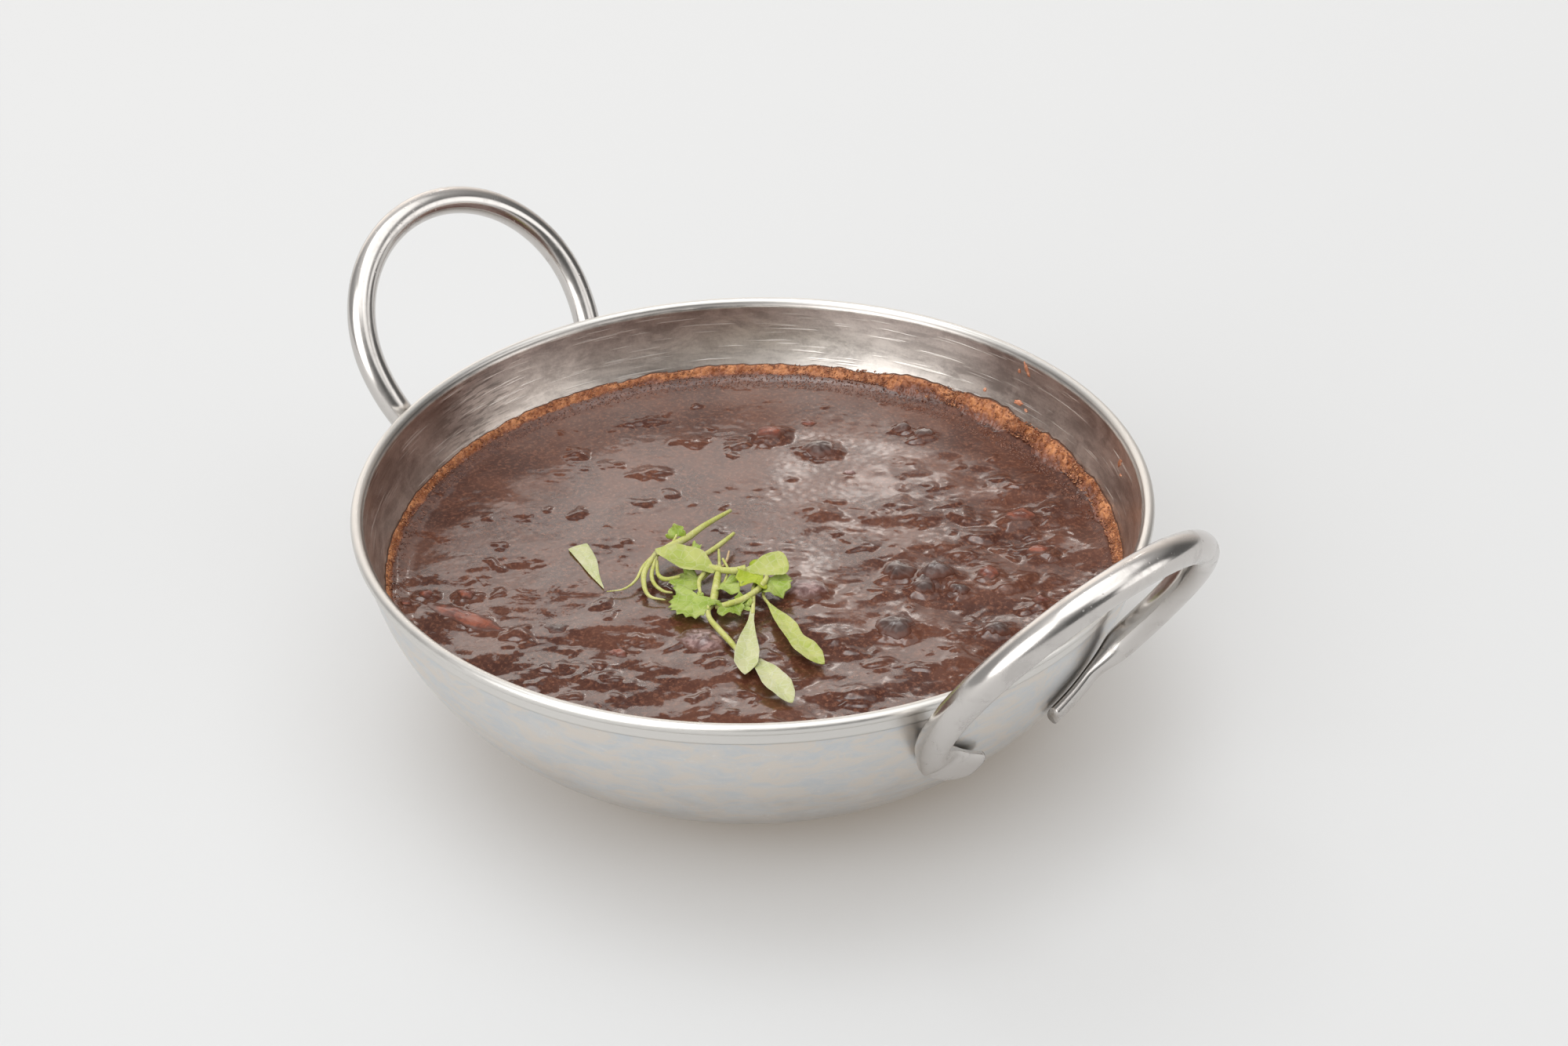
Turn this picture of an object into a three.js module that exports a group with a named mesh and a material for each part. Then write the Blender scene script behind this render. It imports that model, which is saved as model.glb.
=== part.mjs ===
// A two-handled steel balti dish of black bean stew with a garnish of coriander seedlings.
// Millimetres, +Z up. The origin is the middle of the flat foot, and the two handles lie along X.

import * as THREE from 'three';
import { mergeVertices } from 'three/addons/utils/BufferGeometryUtils.js';

// ---- Bowl ----
const RIM_RADIUS = 80;          // outside of the rolled bead
const RIM_HEIGHT = 49;          // middle of the bead above the table
const BEAD_RADIUS = 1.1;
const HEM_DEPTH = 3.4;          // the folded hem under the bead
const HEM_STEP = 0.4;           // how far the hem stands proud of the wall
const WALL = 1;
const WALL_TOP_RADIUS = 78.5;   // outside of the wall just under the hem
const FOOT_RADIUS = 35;
const ROUND_ACROSS = 1.19;      // exponents that give the pressed wall its rounded profile
const ROUND_UP = 1.05;
const WALL_STEPS = 13;
const BEAD_STEPS = 7;
const TURN_STEPS = 64;

// ---- Stew ----
const GAP = 0.3;                // air gap between pieces that touch
const STEW_LEVEL = 32;
const EDGE_CLIMB = 1.1;         // the surface rises where it clings to the wall
const EDGE_CLIMB_WIDTH = 5;
const STEW_RINGS = 12;
const STEW_SIDE_STEPS = 7;

// ---- Handles ----
const ROD_RADIUS = 3;
const LOOP_RADIUS = 28.5;       // centre line of the round upper part
const LOOP_FOOT_DROP = 34;      // the lower part is stretched into a longer half ellipse
const LOOP_OFFSET = 82.5;       // where the loop's plane crosses the rim's height
const LOOP_END = 1.38 * Math.PI;
const PAD_HALF_WIDTH = 4;
const PAD_HALF_THICKNESS = 1.3;
const PAD_GAP = 0.35;
const SOFT_CONTACT = 0.6;       // how gently the rod meets the wall
const ROD_STEPS = 44;
const ROD_SIDES = 10;
const HANDLES = [
  { name: 'handle_near', azimuth: -2.8, tilt: 30.4, lift: 7.4 },
  { name: 'handle_far', azimuth: 182.8, tilt: 31.9, lift: 6 },
];

// ---- Garnish ----
// Places are given as [right, away] from the middle of the garnish, seen from where the dish
// is usually looked at: from between +X and -Y.
const GARNISH_CENTRE = [2.4, -12.4];
const GARNISH_TURN = 47;
const LEAF_THICKNESS = 0.7;
const LEAF_GAP = 0.5;
const LEAVES = [
  { name: 'seed_leaf_loose', from: [-27.8, 11.8], to: [-22.9, -3.6], halfWidth: 2.2, widest: 0.2 },
  { name: 'seed_leaf_hanging', from: [7, -13.5], to: [5.7, -32.6], halfWidth: 2.9, widest: 0.72 },
  { name: 'seed_leaf_front', from: [9.8, -31.8], to: [15, -43.2], halfWidth: 2.7, widest: 0.6 },
  { name: 'seed_leaf_right', from: [14.2, -15.5], to: [21.3, -28.8], halfWidth: 2.6, widest: 0.6 },
];
const HEAP_HEIGHT = 6.5;
const HEAP_RINGS = 5;
const HEAP_STEPS = 30;
const HEAP_LOBES = [            // the uneven outline: lobes that reach out from the middle
  { at: [4, 2], radius: 12.5 },
  { at: [-9, 1], radius: 11 },
  { at: [11, -5], radius: 7.5 },
  { at: [0, 13], radius: 7 },
];

const RADIANS = Math.PI / 180;

const steel = (color, roughness) => new THREE.MeshStandardMaterial({ color, roughness, metalness: 1 });
const food = (color, roughness) => new THREE.MeshStandardMaterial({ color, roughness, metalness: 0 });

// ---- Helpers ----

function smoothstep(low, high, value) {
  const t = Math.min(Math.max((value - low) / (high - low), 0), 1);
  return t * t * (3 - 2 * t);
}

function signedVolume(geometry) {
  const { position } = geometry.attributes;
  const { index } = geometry;
  const a = new THREE.Vector3();
  const b = new THREE.Vector3();
  const c = new THREE.Vector3();
  let volume = 0;
  for (let i = 0; i < index.count; i += 3) {
    a.fromBufferAttribute(position, index.getX(i));
    b.fromBufferAttribute(position, index.getX(i + 1));
    c.fromBufferAttribute(position, index.getX(i + 2));
    volume += a.dot(b.cross(c)) / 6;
  }
  return volume;
}

// Merges shared corners, and turns the faces round where a shape came out inside out.
function closedSolid(geometry) {
  geometry.deleteAttribute('normal');
  geometry.deleteAttribute('uv');
  const solid = mergeVertices(geometry, 1e-4);
  if (signedVolume(solid) < 0) {
    const { index } = solid;
    for (let i = 0; i < index.count; i += 3) {
      const first = index.getX(i);
      index.setX(i, index.getX(i + 1));
      index.setX(i + 1, first);
    }
  }
  solid.computeVertexNormals();
  return solid;
}

// A profile of radius and height turned about Z.
function revolve(profile, steps) {
  const geometry = new THREE.LatheGeometry(profile, steps);
  geometry.rotateX(Math.PI / 2);
  return geometry;
}

function namedMesh(name, geometry, material) {
  const mesh = new THREE.Mesh(closedSolid(geometry), material);
  mesh.name = name;
  return mesh;
}

// ---- Wall profile: a rounded curve from the rim (step 0) to the edge of the foot (step 1) ----

function wallPoint(step) {
  const angle = (step * Math.PI) / 2;
  const radius = FOOT_RADIUS + (WALL_TOP_RADIUS - FOOT_RADIUS) * Math.cos(angle) ** ROUND_ACROSS;
  return new THREE.Vector2(radius, RIM_HEIGHT * (1 - Math.sin(angle) ** ROUND_UP));
}

function wallStepAt(height) {
  const drop = Math.min(Math.max(1 - height / RIM_HEIGHT, 0), 1);
  return (Math.asin(drop ** (1 / ROUND_UP)) * 2) / Math.PI;
}

const wallRadiusAt = (height) => wallPoint(wallStepAt(height)).x;

function wallNormalAt(height) {
  const small = 0.01;
  const slope = (wallRadiusAt(height + small) - wallRadiusAt(height - small)) / (2 * small);
  return new THREE.Vector2(1, -slope).normalize();
}

// The wall moved inwards along its own normal, and never below the given floor.
function insetPoint(step, inset, floor) {
  const small = 1e-4;
  const before = wallPoint(Math.max(step - small, 0));
  const along = wallPoint(Math.min(step + small, 1)).sub(before).normalize();
  const inward = new THREE.Vector2(along.y, -along.x);
  const point = wallPoint(step).addScaledVector(inward, inset);
  point.y = Math.max(point.y, floor);
  return point;
}

function makeBowl() {
  const profile = [new THREE.Vector2(0, WALL)];
  for (let i = WALL_STEPS; i >= 0; i -= 1) {
    profile.push(insetPoint(i / WALL_STEPS, WALL, WALL));
  }
  const beadCentre = RIM_RADIUS - BEAD_RADIUS;
  const beadStart = 0.95 * Math.PI;
  const beadSweep = 1.2 * Math.PI;
  for (let i = 0; i <= BEAD_STEPS; i += 1) {
    const angle = beadStart - (beadSweep * i) / BEAD_STEPS;
    const across = beadCentre + BEAD_RADIUS * Math.cos(angle);
    profile.push(new THREE.Vector2(across, RIM_HEIGHT + BEAD_RADIUS * Math.sin(angle)));
  }
  const hemFoot = RIM_HEIGHT - HEM_DEPTH;
  profile.push(new THREE.Vector2(WALL_TOP_RADIUS + HEM_STEP, hemFoot));
  profile.push(new THREE.Vector2(wallRadiusAt(hemFoot - HEM_STEP), hemFoot - HEM_STEP));
  for (let i = 0; i <= WALL_STEPS; i += 1) {
    const point = wallPoint(i / WALL_STEPS);
    if (point.y < hemFoot - 2 * HEM_STEP) {
      profile.push(point);
    }
  }
  profile.push(new THREE.Vector2(0, 0));
  return namedMesh('bowl', revolve(profile, TURN_STEPS), steel(0xb5b0a8, 0.3));
}

// ---- Stew ----

const STEW_RADIUS = wallRadiusAt(STEW_LEVEL) - (WALL + GAP) / wallNormalAt(STEW_LEVEL).x;

// Slow swells over the surface, and the climb at the wall.
function stewTop(x, y) {
  const swell = 0.3 * Math.sin(x / 7.5 + 1.3 * Math.sin(y / 17)) * Math.cos(y / 9 + 0.8)
    + 0.22 * Math.sin((x + y) / 5.2 + 0.5) * Math.sin((x - y) / 11);
  const edge = smoothstep(STEW_RADIUS - EDGE_CLIMB_WIDTH, STEW_RADIUS, Math.hypot(x, y));
  return STEW_LEVEL + swell * (1 - edge) + EDGE_CLIMB * edge ** 2;
}

function makeStew() {
  const floor = WALL + GAP;
  const topStep = wallStepAt(STEW_LEVEL);
  const profile = [new THREE.Vector2(0, floor)];
  for (let i = STEW_SIDE_STEPS; i >= 0; i -= 1) {
    profile.push(insetPoint(topStep + ((1 - topStep) * i) / STEW_SIDE_STEPS, WALL + GAP, floor));
  }
  const edge = profile[profile.length - 1];
  edge.y = STEW_LEVEL;
  for (let i = STEW_RINGS - 1; i >= 0; i -= 1) {
    profile.push(new THREE.Vector2((edge.x * i) / STEW_RINGS, STEW_LEVEL));
  }
  const geometry = revolve(profile, TURN_STEPS);
  const { position } = geometry.attributes;
  for (let i = 0; i < position.count; i += 1) {
    if (Math.abs(position.getZ(i) - STEW_LEVEL) < 1e-3) {
      position.setZ(i, stewTop(position.getX(i), position.getY(i)));
    }
  }
  return namedMesh('stew', geometry, food(0x4a2d22, 0.25));
}

// ---- Handles: a round rod bent into a leaning loop, its ends flattened against the wall ----

function loopPoint(angle, tilt, lift) {
  const stretch = Math.sin(angle) > 0 ? LOOP_RADIUS : LOOP_FOOT_DROP;
  const rise = lift + stretch * Math.sin(angle);
  return new THREE.Vector3(
    LOOP_OFFSET + rise * Math.sin(tilt),
    LOOP_RADIUS * Math.cos(angle),
    RIM_HEIGHT + rise * Math.cos(tilt),
  );
}

// How far round the loop an angle lies below its widest points.
const belowWidest = (angle) => Math.abs(angle - Math.PI / 2) - Math.PI / 2;

// 0 along the free loop and 1 where the foot faces the way the wall does.
const footBlend = (angle) => smoothstep(0.07 * Math.PI, 0.24 * Math.PI, belowWidest(angle));

// 0 on the round rod and 1 on the flattened pad.
const flattening = (angle) => smoothstep(0.16 * Math.PI, 0.27 * Math.PI, belowWidest(angle));

// Where the loop's own plane comes nearer to the wall than the rod is thick, the rod is held off,
// so that its feet lie along the wall.
function rodCentre(angle, handle) {
  const tilt = handle.tilt * RADIANS;
  const free = loopPoint(angle, tilt, handle.lift);
  const planeNormal = new THREE.Vector3(Math.cos(tilt), 0, -Math.sin(tilt));
  if (free.z > RIM_HEIGHT) {
    return { position: free, outward: planeNormal };
  }
  const radius = wallRadiusAt(free.z);
  const normal = wallNormalAt(free.z);
  const wallX = Math.sqrt(radius ** 2 - free.y ** 2);
  const outward = new THREE.Vector3((normal.x * wallX) / radius, (normal.x * free.y) / radius, normal.y);
  const blend = footBlend(angle);
  const needed = THREE.MathUtils.lerp(ROD_RADIUS, PAD_HALF_THICKNESS, flattening(angle)) + PAD_GAP;
  const spare = (free.x - wallX) * outward.x - needed;
  const kept = (spare + Math.hypot(spare, SOFT_CONTACT)) / 2;
  return {
    position: new THREE.Vector3(wallX + (needed + kept) / outward.x, free.y, free.z),
    outward: planeNormal.lerp(outward, blend).normalize(),
  };
}

// A capped cylinder bent along the rod: its height runs round the loop from foot to foot.
function makeHandle(handle) {
  const geometry = new THREE.CylinderGeometry(1, 1, 1, ROD_SIDES, ROD_STEPS);
  const { position } = geometry.attributes;
  const small = 0.01;
  for (let i = 0; i < position.count; i += 1) {
    const along = position.getY(i) * 2;
    const angle = Math.PI / 2 + along * (LOOP_END - Math.PI / 2);
    const { position: place, outward } = rodCentre(angle, handle);
    const ahead = rodCentre(angle + small, handle).position;
    const forward = ahead.sub(rodCentre(angle - small, handle).position).normalize();
    const across = new THREE.Vector3().crossVectors(forward, outward).normalize();
    const thick = new THREE.Vector3().crossVectors(across, forward);
    const flat = flattening(angle);
    const endRound = Math.sqrt(1 - smoothstep(0.93, 1.12, Math.abs(along)));
    const halfWidth = THREE.MathUtils.lerp(ROD_RADIUS, PAD_HALF_WIDTH, flat) * endRound;
    const halfThickness = THREE.MathUtils.lerp(ROD_RADIUS, PAD_HALF_THICKNESS, flat);
    place.addScaledVector(across, position.getX(i) * halfWidth);
    place.addScaledVector(thick, position.getZ(i) * halfThickness);
    position.setXYZ(i, place.x, place.y, place.z);
  }
  geometry.rotateZ(handle.azimuth * RADIANS);
  return namedMesh(handle.name, geometry, steel(0xc8c4bd, 0.18));
}

// ---- Garnish ----

function garnishPlace([right, away]) {
  const turn = GARNISH_TURN * RADIANS;
  return new THREE.Vector2(
    GARNISH_CENTRE[0] + right * Math.cos(turn) - away * Math.sin(turn),
    GARNISH_CENTRE[1] + right * Math.sin(turn) + away * Math.cos(turn),
  );
}

// A seed leaf: a thin blade from its stalk to its tip, lying over the surface of the stew.
function makeSeedLeaf({ name, from, to, halfWidth, widest }) {
  const geometry = new THREE.BoxGeometry(1, 2, 1, 8, 2, 1);
  const start = garnishPlace(from);
  const end = garnishPlace(to);
  const sideways = end.clone().sub(start).normalize().rotateAround(new THREE.Vector2(), Math.PI / 2);
  const { position } = geometry.attributes;
  for (let i = 0; i < position.count; i += 1) {
    const along = position.getX(i) + 0.5;
    const swelling = smoothstep(-0.25, widest, along);
    const tapering = 1 - smoothstep(widest, 1.12, along) ** 2;
    const width = halfWidth * Math.max(Math.min(swelling, tapering), 0.2);
    const place = start.clone().lerp(end, along).addScaledVector(sideways, position.getY(i) * width);
    const base = stewTop(place.x, place.y) + LEAF_GAP;
    position.setXYZ(i, place.x, place.y, base + (position.getZ(i) > 0 ? LEAF_THICKNESS : 0));
  }
  return namedMesh(name, geometry, food(0xc9d27a, 0.5));
}

// How far the heap of sprigs reaches from its middle in one direction.
function heapReach(direction) {
  let reach = 0;
  for (const { at, radius } of HEAP_LOBES) {
    const along = at[0] * direction.x + at[1] * direction.y;
    const aside = at[0] * direction.y - at[1] * direction.x;
    if (Math.abs(aside) < radius) {
      reach = Math.max(reach, along + Math.sqrt(radius ** 2 - aside ** 2));
    }
  }
  return reach;
}

// The tangled sprigs as one low heap out to their uneven outline.
function makeSprigHeap() {
  const profile = [];
  for (let ring = 0; ring <= HEAP_RINGS; ring += 1) {
    profile.push(new THREE.Vector2(ring / HEAP_RINGS, 0));
  }
  for (let ring = HEAP_RINGS; ring >= 0; ring -= 1) {
    profile.push(new THREE.Vector2(ring / HEAP_RINGS, 1));
  }
  const geometry = revolve(profile, HEAP_STEPS);
  const { position } = geometry.attributes;
  for (let i = 0; i < position.count; i += 1) {
    const direction = new THREE.Vector2(position.getX(i), position.getY(i));
    const fraction = direction.length();
    const distance = fraction > 0 ? heapReach(direction.normalize()) * fraction : 0;
    const place = garnishPlace([direction.x * distance, direction.y * distance]);
    const base = stewTop(place.x, place.y) + LEAF_GAP;
    const bulge = LEAF_THICKNESS + HEAP_HEIGHT * Math.max(1 - fraction ** 2, 0) ** 0.8;
    position.setXYZ(i, place.x, place.y, base + (position.getZ(i) > 0.5 ? bulge : 0));
  }
  return namedMesh('sprig_heap', geometry, food(0x8fb13c, 0.5));
}

const dish = new THREE.Group();
dish.add(makeBowl());
dish.add(makeStew());
for (const handle of HANDLES) {
  dish.add(makeHandle(handle));
}
dish.add(makeSprigHeap());
for (const leaf of LEAVES) {
  dish.add(makeSeedLeaf(leaf));
}

export default dish;
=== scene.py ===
"""The looks of a steel balti dish of black bean stew with coriander seedlings on top.

Shapes are worked out in millimetres and become metres when a mesh is made. The frame is that of the
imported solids: the origin in the middle of the foot, the two handles along X, +Z up. What lies on the
stew is placed by how far it is to the right and how far away, seen from where the dish is looked at.
"""

import math

import bpy
import mathutils
import numpy as np
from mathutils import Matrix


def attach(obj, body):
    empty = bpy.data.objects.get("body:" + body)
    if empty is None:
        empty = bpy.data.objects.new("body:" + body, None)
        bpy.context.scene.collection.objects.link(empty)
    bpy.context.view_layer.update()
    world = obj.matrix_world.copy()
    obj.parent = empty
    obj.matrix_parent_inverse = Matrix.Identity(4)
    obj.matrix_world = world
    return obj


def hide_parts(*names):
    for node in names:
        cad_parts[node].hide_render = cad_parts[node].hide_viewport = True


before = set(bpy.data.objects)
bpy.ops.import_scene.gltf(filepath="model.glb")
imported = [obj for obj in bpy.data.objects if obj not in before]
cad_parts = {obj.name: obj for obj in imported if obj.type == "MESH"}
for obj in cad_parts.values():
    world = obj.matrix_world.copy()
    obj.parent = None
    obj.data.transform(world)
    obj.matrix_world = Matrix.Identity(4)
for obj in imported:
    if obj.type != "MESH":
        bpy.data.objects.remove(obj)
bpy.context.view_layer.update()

# ---- Sizes in millimetres, the same as in the solids ----
RIM_RADIUS = 80.0
RIM_HEIGHT = 49.0
BEAD_RADIUS = 1.1
HEM_DEPTH = 3.4
HEM_STEP = 0.4
WALL = 1.0
WALL_TOP_RADIUS = 78.5
FOOT_RADIUS = 35.0
ROUND_ACROSS = 1.19
ROUND_UP = 1.05
GAP = 0.3
STEW_LEVEL = 32.0
EDGE_CLIMB = 1.1
EDGE_CLIMB_WIDTH = 5.0
ROD_RADIUS = 3.0
LOOP_RADIUS = 28.5
LOOP_FOOT_DROP = 34.0
LOOP_OFFSET = 82.5
LOOP_END = 1.38 * math.pi
PAD_HALF_WIDTH = 4.0
PAD_HALF_THICKNESS = 1.3
PAD_GAP = 0.35
SOFT_CONTACT = 0.6
VIEW_TURN = math.radians(47)
UNROLLED_RADIUS = 74.0
MM = 0.001

# Where the camera stands, in metres, and the way it is turned.
CAMERA_PLACE = (0.27542, -0.24845, 0.28221)
CAMERA_RIGHT = (0.6875, 0.7261, -0.0116)
CAMERA_UP = (-0.3910, 0.3837, 0.8366)
CAMERA_LENS = 50.0
CAMERA_SENSOR = 36.0


# ---- Small tools for shapes ----


def smoothstep(low, high, value):
    """0 below low, 1 above high, and 3t^2 - 2t^3 between them."""
    t = np.clip((value - low) / (high - low), 0, 1)
    return t * t * (3 - 2 * t)


def unit(vectors):
    """Each vector divided by its length."""
    return vectors / np.maximum(np.linalg.norm(vectors, axis=-1, keepdims=True), 1e-9)


def seen(points):
    """Points given as (right, away, height) turned about Z into the frame."""
    points = np.asarray(points, float)
    right, away = points[..., 0], points[..., 1]
    x = right * math.cos(VIEW_TURN) - away * math.sin(VIEW_TURN)
    y = right * math.sin(VIEW_TURN) + away * math.cos(VIEW_TURN)
    return np.stack([x, y, points[..., 2]], -1)


def round_z(radius, azimuth, height):
    """Points at a distance from the Z axis, a way round it and a height."""
    return np.stack([radius * np.cos(azimuth), radius * np.sin(azimuth), height + 0 * azimuth], -1)


def as_seen(x, y):
    """How far right and how far away a place in the frame is."""
    right = x * math.cos(VIEW_TURN) + y * math.sin(VIEW_TURN)
    away = -x * math.sin(VIEW_TURN) + y * math.cos(VIEW_TURN)
    return right, away


def smooth_path(points, count):
    """A smooth curve through the points: on each stretch the cubic whose slope at either end is half
    the step between the neighbours on both sides."""
    points = np.asarray(points, float)
    padded = np.vstack([2 * points[0] - points[1], points, 2 * points[-1] - points[-2]])
    t = np.linspace(0, len(points) - 1, count)
    k = np.minimum(t.astype(int), len(points) - 2)
    f = (t - k)[:, None]
    a, b, c, d = padded[k], padded[k + 1], padded[k + 2], padded[k + 3]
    return 0.5 * (2 * b + (c - a) * f + (2 * a - 5 * b + 4 * c - d) * f**2 + (3 * b - a - 3 * c + d) * f**3)


def spread(values, count):
    """Numbers along a path, blended evenly to count of them."""
    return np.interp(np.linspace(0, 1, count), np.linspace(0, 1, len(values)), values)


def waves(u, v, length, count, seed, stretch=1.0):
    """A random smooth field with a spread of about 1: a sum of plane waves of about the given length,
    in directions all round, stretched along u."""
    draw = np.random.default_rng(seed)
    total = np.zeros_like(u)
    for _ in range(count):
        turn = draw.uniform(0, math.pi)
        reach = 2 * math.pi / (length * draw.uniform(0.7, 1.5))
        total += np.sin(
            reach * (u * math.cos(turn) / stretch + v * math.sin(turn)) + draw.uniform(0, 2 * math.pi)
        )
    return total * math.sqrt(2 / count)


class Shape:
    """Corners and faces, which pieces are put together from."""

    def __init__(self, corners, quads, triangles=None):
        self.corners = np.asarray(corners, float).reshape(-1, 3)
        self.quads = np.asarray(quads, int).reshape(-1, 4)
        self.triangles = np.zeros((0, 3), int) if triangles is None else np.asarray(triangles, int)

    def facing_out(self):
        """The same shape with its faces turned round if the volume inside comes out negative."""
        split = np.vstack([self.quads[:, [0, 1, 2]], self.quads[:, [0, 2, 3]], self.triangles])
        a, b, c = (self.corners[split[:, k]] for k in range(3))
        if np.einsum("ij,ij->", a, np.cross(b, c)) < 0:
            self.quads = self.quads[:, ::-1]
            self.triangles = self.triangles[:, ::-1]
        return self


def joined(shapes):
    """Several shapes as one."""
    starts = np.cumsum([0] + [len(s.corners) for s in shapes[:-1]])
    return Shape(
        np.vstack([s.corners for s in shapes]),
        np.vstack([s.quads + k for s, k in zip(shapes, starts)]),
        np.vstack([s.triangles + k for s, k in zip(shapes, starts)]),
    )


def grid_quads(rows, columns, round_rows=False, round_columns=True):
    """The quads between neighbouring rows and columns of a grid of corners."""
    i = np.arange(rows if round_rows else rows - 1)[:, None]
    j = np.arange(columns if round_columns else columns - 1)[None, :]
    below, beside = (i + 1) % rows, (j + 1) % columns
    corners = [i * columns + j, i * columns + beside, below * columns + beside, below * columns + j]
    return np.stack(np.broadcast_arrays(*corners), -1).reshape(-1, 4)


def skin(rows):
    """A closed surface from a grid of corners: each row runs round, and both ends draw to a point."""
    count, around = rows.shape[:2]
    corners = np.vstack([rows.reshape(-1, 3), rows[0].mean(0), rows[-1].mean(0)])
    j = np.arange(around)
    beside = (j + 1) % around
    first, last = count * around, count * around + 1
    start = (count - 1) * around
    caps = [
        np.stack([np.full(around, first), beside, j], -1),
        np.stack([np.full(around, last), start + j, start + beside], -1),
    ]
    return Shape(corners, grid_quads(count, around), np.vstack(caps)).facing_out()


def along(path):
    """The way ahead, the way aside and the way up at each point of a path."""
    ahead = unit(np.gradient(path, axis=0))
    aside = unit(np.cross(ahead, [0.0, 0.0, 1.0]))
    return ahead, aside, np.cross(aside, ahead)


def stalk(points, radii):
    """A round stem: a circle of changing radius carried along a smooth path."""
    count = 28
    path = smooth_path(points, count)
    _, aside, up = along(path)
    radius = spread(radii, count)[:, None, None]
    turn = np.linspace(0, 2 * math.pi, 10, endpoint=False)[None, :, None]
    return skin(path[:, None] + radius * (aside[:, None] * np.cos(turn) + up[:, None] * np.sin(turn)))


def blade(points, widths, fold, curl, ripple, lean=0.0, thickness=0.35):
    """A leaf blade: across each point of a smooth path it runs from -width to width, its edges raised
    by fold * width * |s|^1.5 and, more towards the tip, by curl * width * s^2 * t, rippled by sines
    that grow towards the edge, and leaning to one side. Its tip is rounded off, as sqrt(1 - t^2) over
    the last stretch. The midrib is a fine groove, and the thickness falls to nothing at the edges as
    sqrt(1 - s^2)."""
    count = 44
    tip_start = 0.86
    path = smooth_path(points, count)
    _, aside, up = along(path)
    s = np.sin(np.linspace(-math.pi / 2, math.pi / 2, 19))[None, :]
    t = np.linspace(0, 1, count)[:, None]
    tip = np.clip((t - tip_start) / (1 - tip_start), 0, 1)
    width = np.interp(t, np.linspace(0, 1, len(widths)), widths) * np.sqrt(1 - 0.98 * tip**2)
    bank = lean * smoothstep(0, 0.35, t)
    side = aside[:, None] * np.cos(bank)[..., None] + up[:, None] * np.sin(bank)[..., None]
    over = up[:, None] * np.cos(bank)[..., None] - aside[:, None] * np.sin(bank)[..., None]
    rise = fold * width * np.abs(s) ** 1.5 + curl * width * s**2 * t
    rise = rise + ripple * np.sin(15 * t + 2.4 * np.sign(s)) * s**2 * np.minimum(width, 1)
    rise = rise - 0.12 * np.exp(-((s / 0.12) ** 2)) * np.minimum(width, 1)
    middle = path[:, None] + side * (width * s)[..., None] + over * rise[..., None]
    thick = thickness / 2 * np.sqrt(np.maximum(1 - s**2, 0)) * np.minimum(width * 2, 1)
    top = middle + over * thick[..., None]
    under = (middle - over * thick[..., None])[:, -2:0:-1]
    return skin(np.concatenate([top, under], 1))


def toothed_leaf(place, ahead, up, size, teeth, opening, cup, wave, seed):
    """A true leaf: a fan round the end of its stalk. Its reach is the size times a lobed and toothed
    function of the angle, with a notch at the stalk, and its height is a bowl of depth cup plus a
    wave round the fan, less a groove along each lobe."""
    draw = np.random.default_rng(seed)
    lobes = 3
    ahead = unit(np.asarray(ahead, float))
    up = unit(np.asarray(up, float) - ahead * np.dot(up, ahead))
    aside = np.cross(up, ahead)
    turn = np.linspace(-math.pi, math.pi, 160, endpoint=False)
    within = np.clip(np.abs(turn) / (opening * math.pi / 1.6), 0, 1)
    lobe = np.abs(np.cos(turn * lobes / (2 * opening))) ** 0.4
    tooth = (np.abs((turn * lobes * teeth / (1.2 * math.pi * opening) + 0.5) % 1 - 0.5) * 2) ** 0.8
    reach = (0.7 + 0.3 * lobe) * (1 - 0.13 * tooth) * (1 - 0.8 * smoothstep(0.72, 1, within))
    reach = reach * (1 + 0.07 * np.sin(turn * 2 + draw.uniform(0, 6)))
    ring = np.array([0.12, 0.3, 0.5, 0.68, 0.83, 0.93, 1.0])[:, None]
    r = ring * reach[None, :] * size
    rise = cup * r**2 / size + wave * r * np.sin(lobes * 1.5 * turn + draw.uniform(0, 6))[None, :] * ring
    rise = rise - 0.05 * size * np.exp(-((np.sin(turn * lobes / opening) / 0.25) ** 2))[None, :] * ring
    centre = np.asarray(place, float)
    middle = (
        centre
        + ahead * (r * np.cos(turn) + 0.1 * size)[..., None]
        + aside * (r * np.sin(turn))[..., None]
        + up * rise[..., None]
    )
    thick = 0.14 * np.sqrt(np.maximum(1 - ring**2, 0))[..., None] * up
    return skin(np.concatenate([middle[:-1] + thick[:-1], middle[-1:], (middle - thick)[-2::-1]]))


def piece(name, shape, finish, replaces=(), attributes=None):
    """A named mesh object made from a shape, in metres, riding on the dish's one body."""
    mesh = bpy.data.meshes.new(name)
    faces = shape.quads.tolist() + shape.triangles.tolist()
    mesh.from_pydata((shape.corners * MM).tolist(), [], faces)
    mesh.polygons.foreach_set("use_smooth", np.ones(len(faces), bool))
    for label, values in (attributes or {}).items():
        mesh.attributes.new(label, "FLOAT", "POINT").data.foreach_set("value", values)
    mesh.materials.append(finish)
    mesh.update()
    made = bpy.data.objects.new(name, mesh)
    bpy.context.scene.collection.objects.link(made)
    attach(made, "root")
    if replaces:
        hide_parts(*replaces)


# ---- Small tools for finishes ----


class Value:
    """What one socket gives. Sums, products and the like add Math nodes."""

    def __init__(self, tree, socket):
        self.tree = tree
        self.socket = socket

    def _math(self, operation, *terms):
        return self.tree.node("ShaderNodeMath", {"operation": operation}, terms)

    def __add__(self, other):
        return self._math("ADD", self, other)

    def __radd__(self, other):
        return self._math("ADD", other, self)

    def __sub__(self, other):
        return self._math("SUBTRACT", self, other)

    def __rsub__(self, other):
        return self._math("SUBTRACT", other, self)

    def __mul__(self, other):
        return self._math("MULTIPLY", self, other)

    def __rmul__(self, other):
        return self._math("MULTIPLY", other, self)


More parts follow.
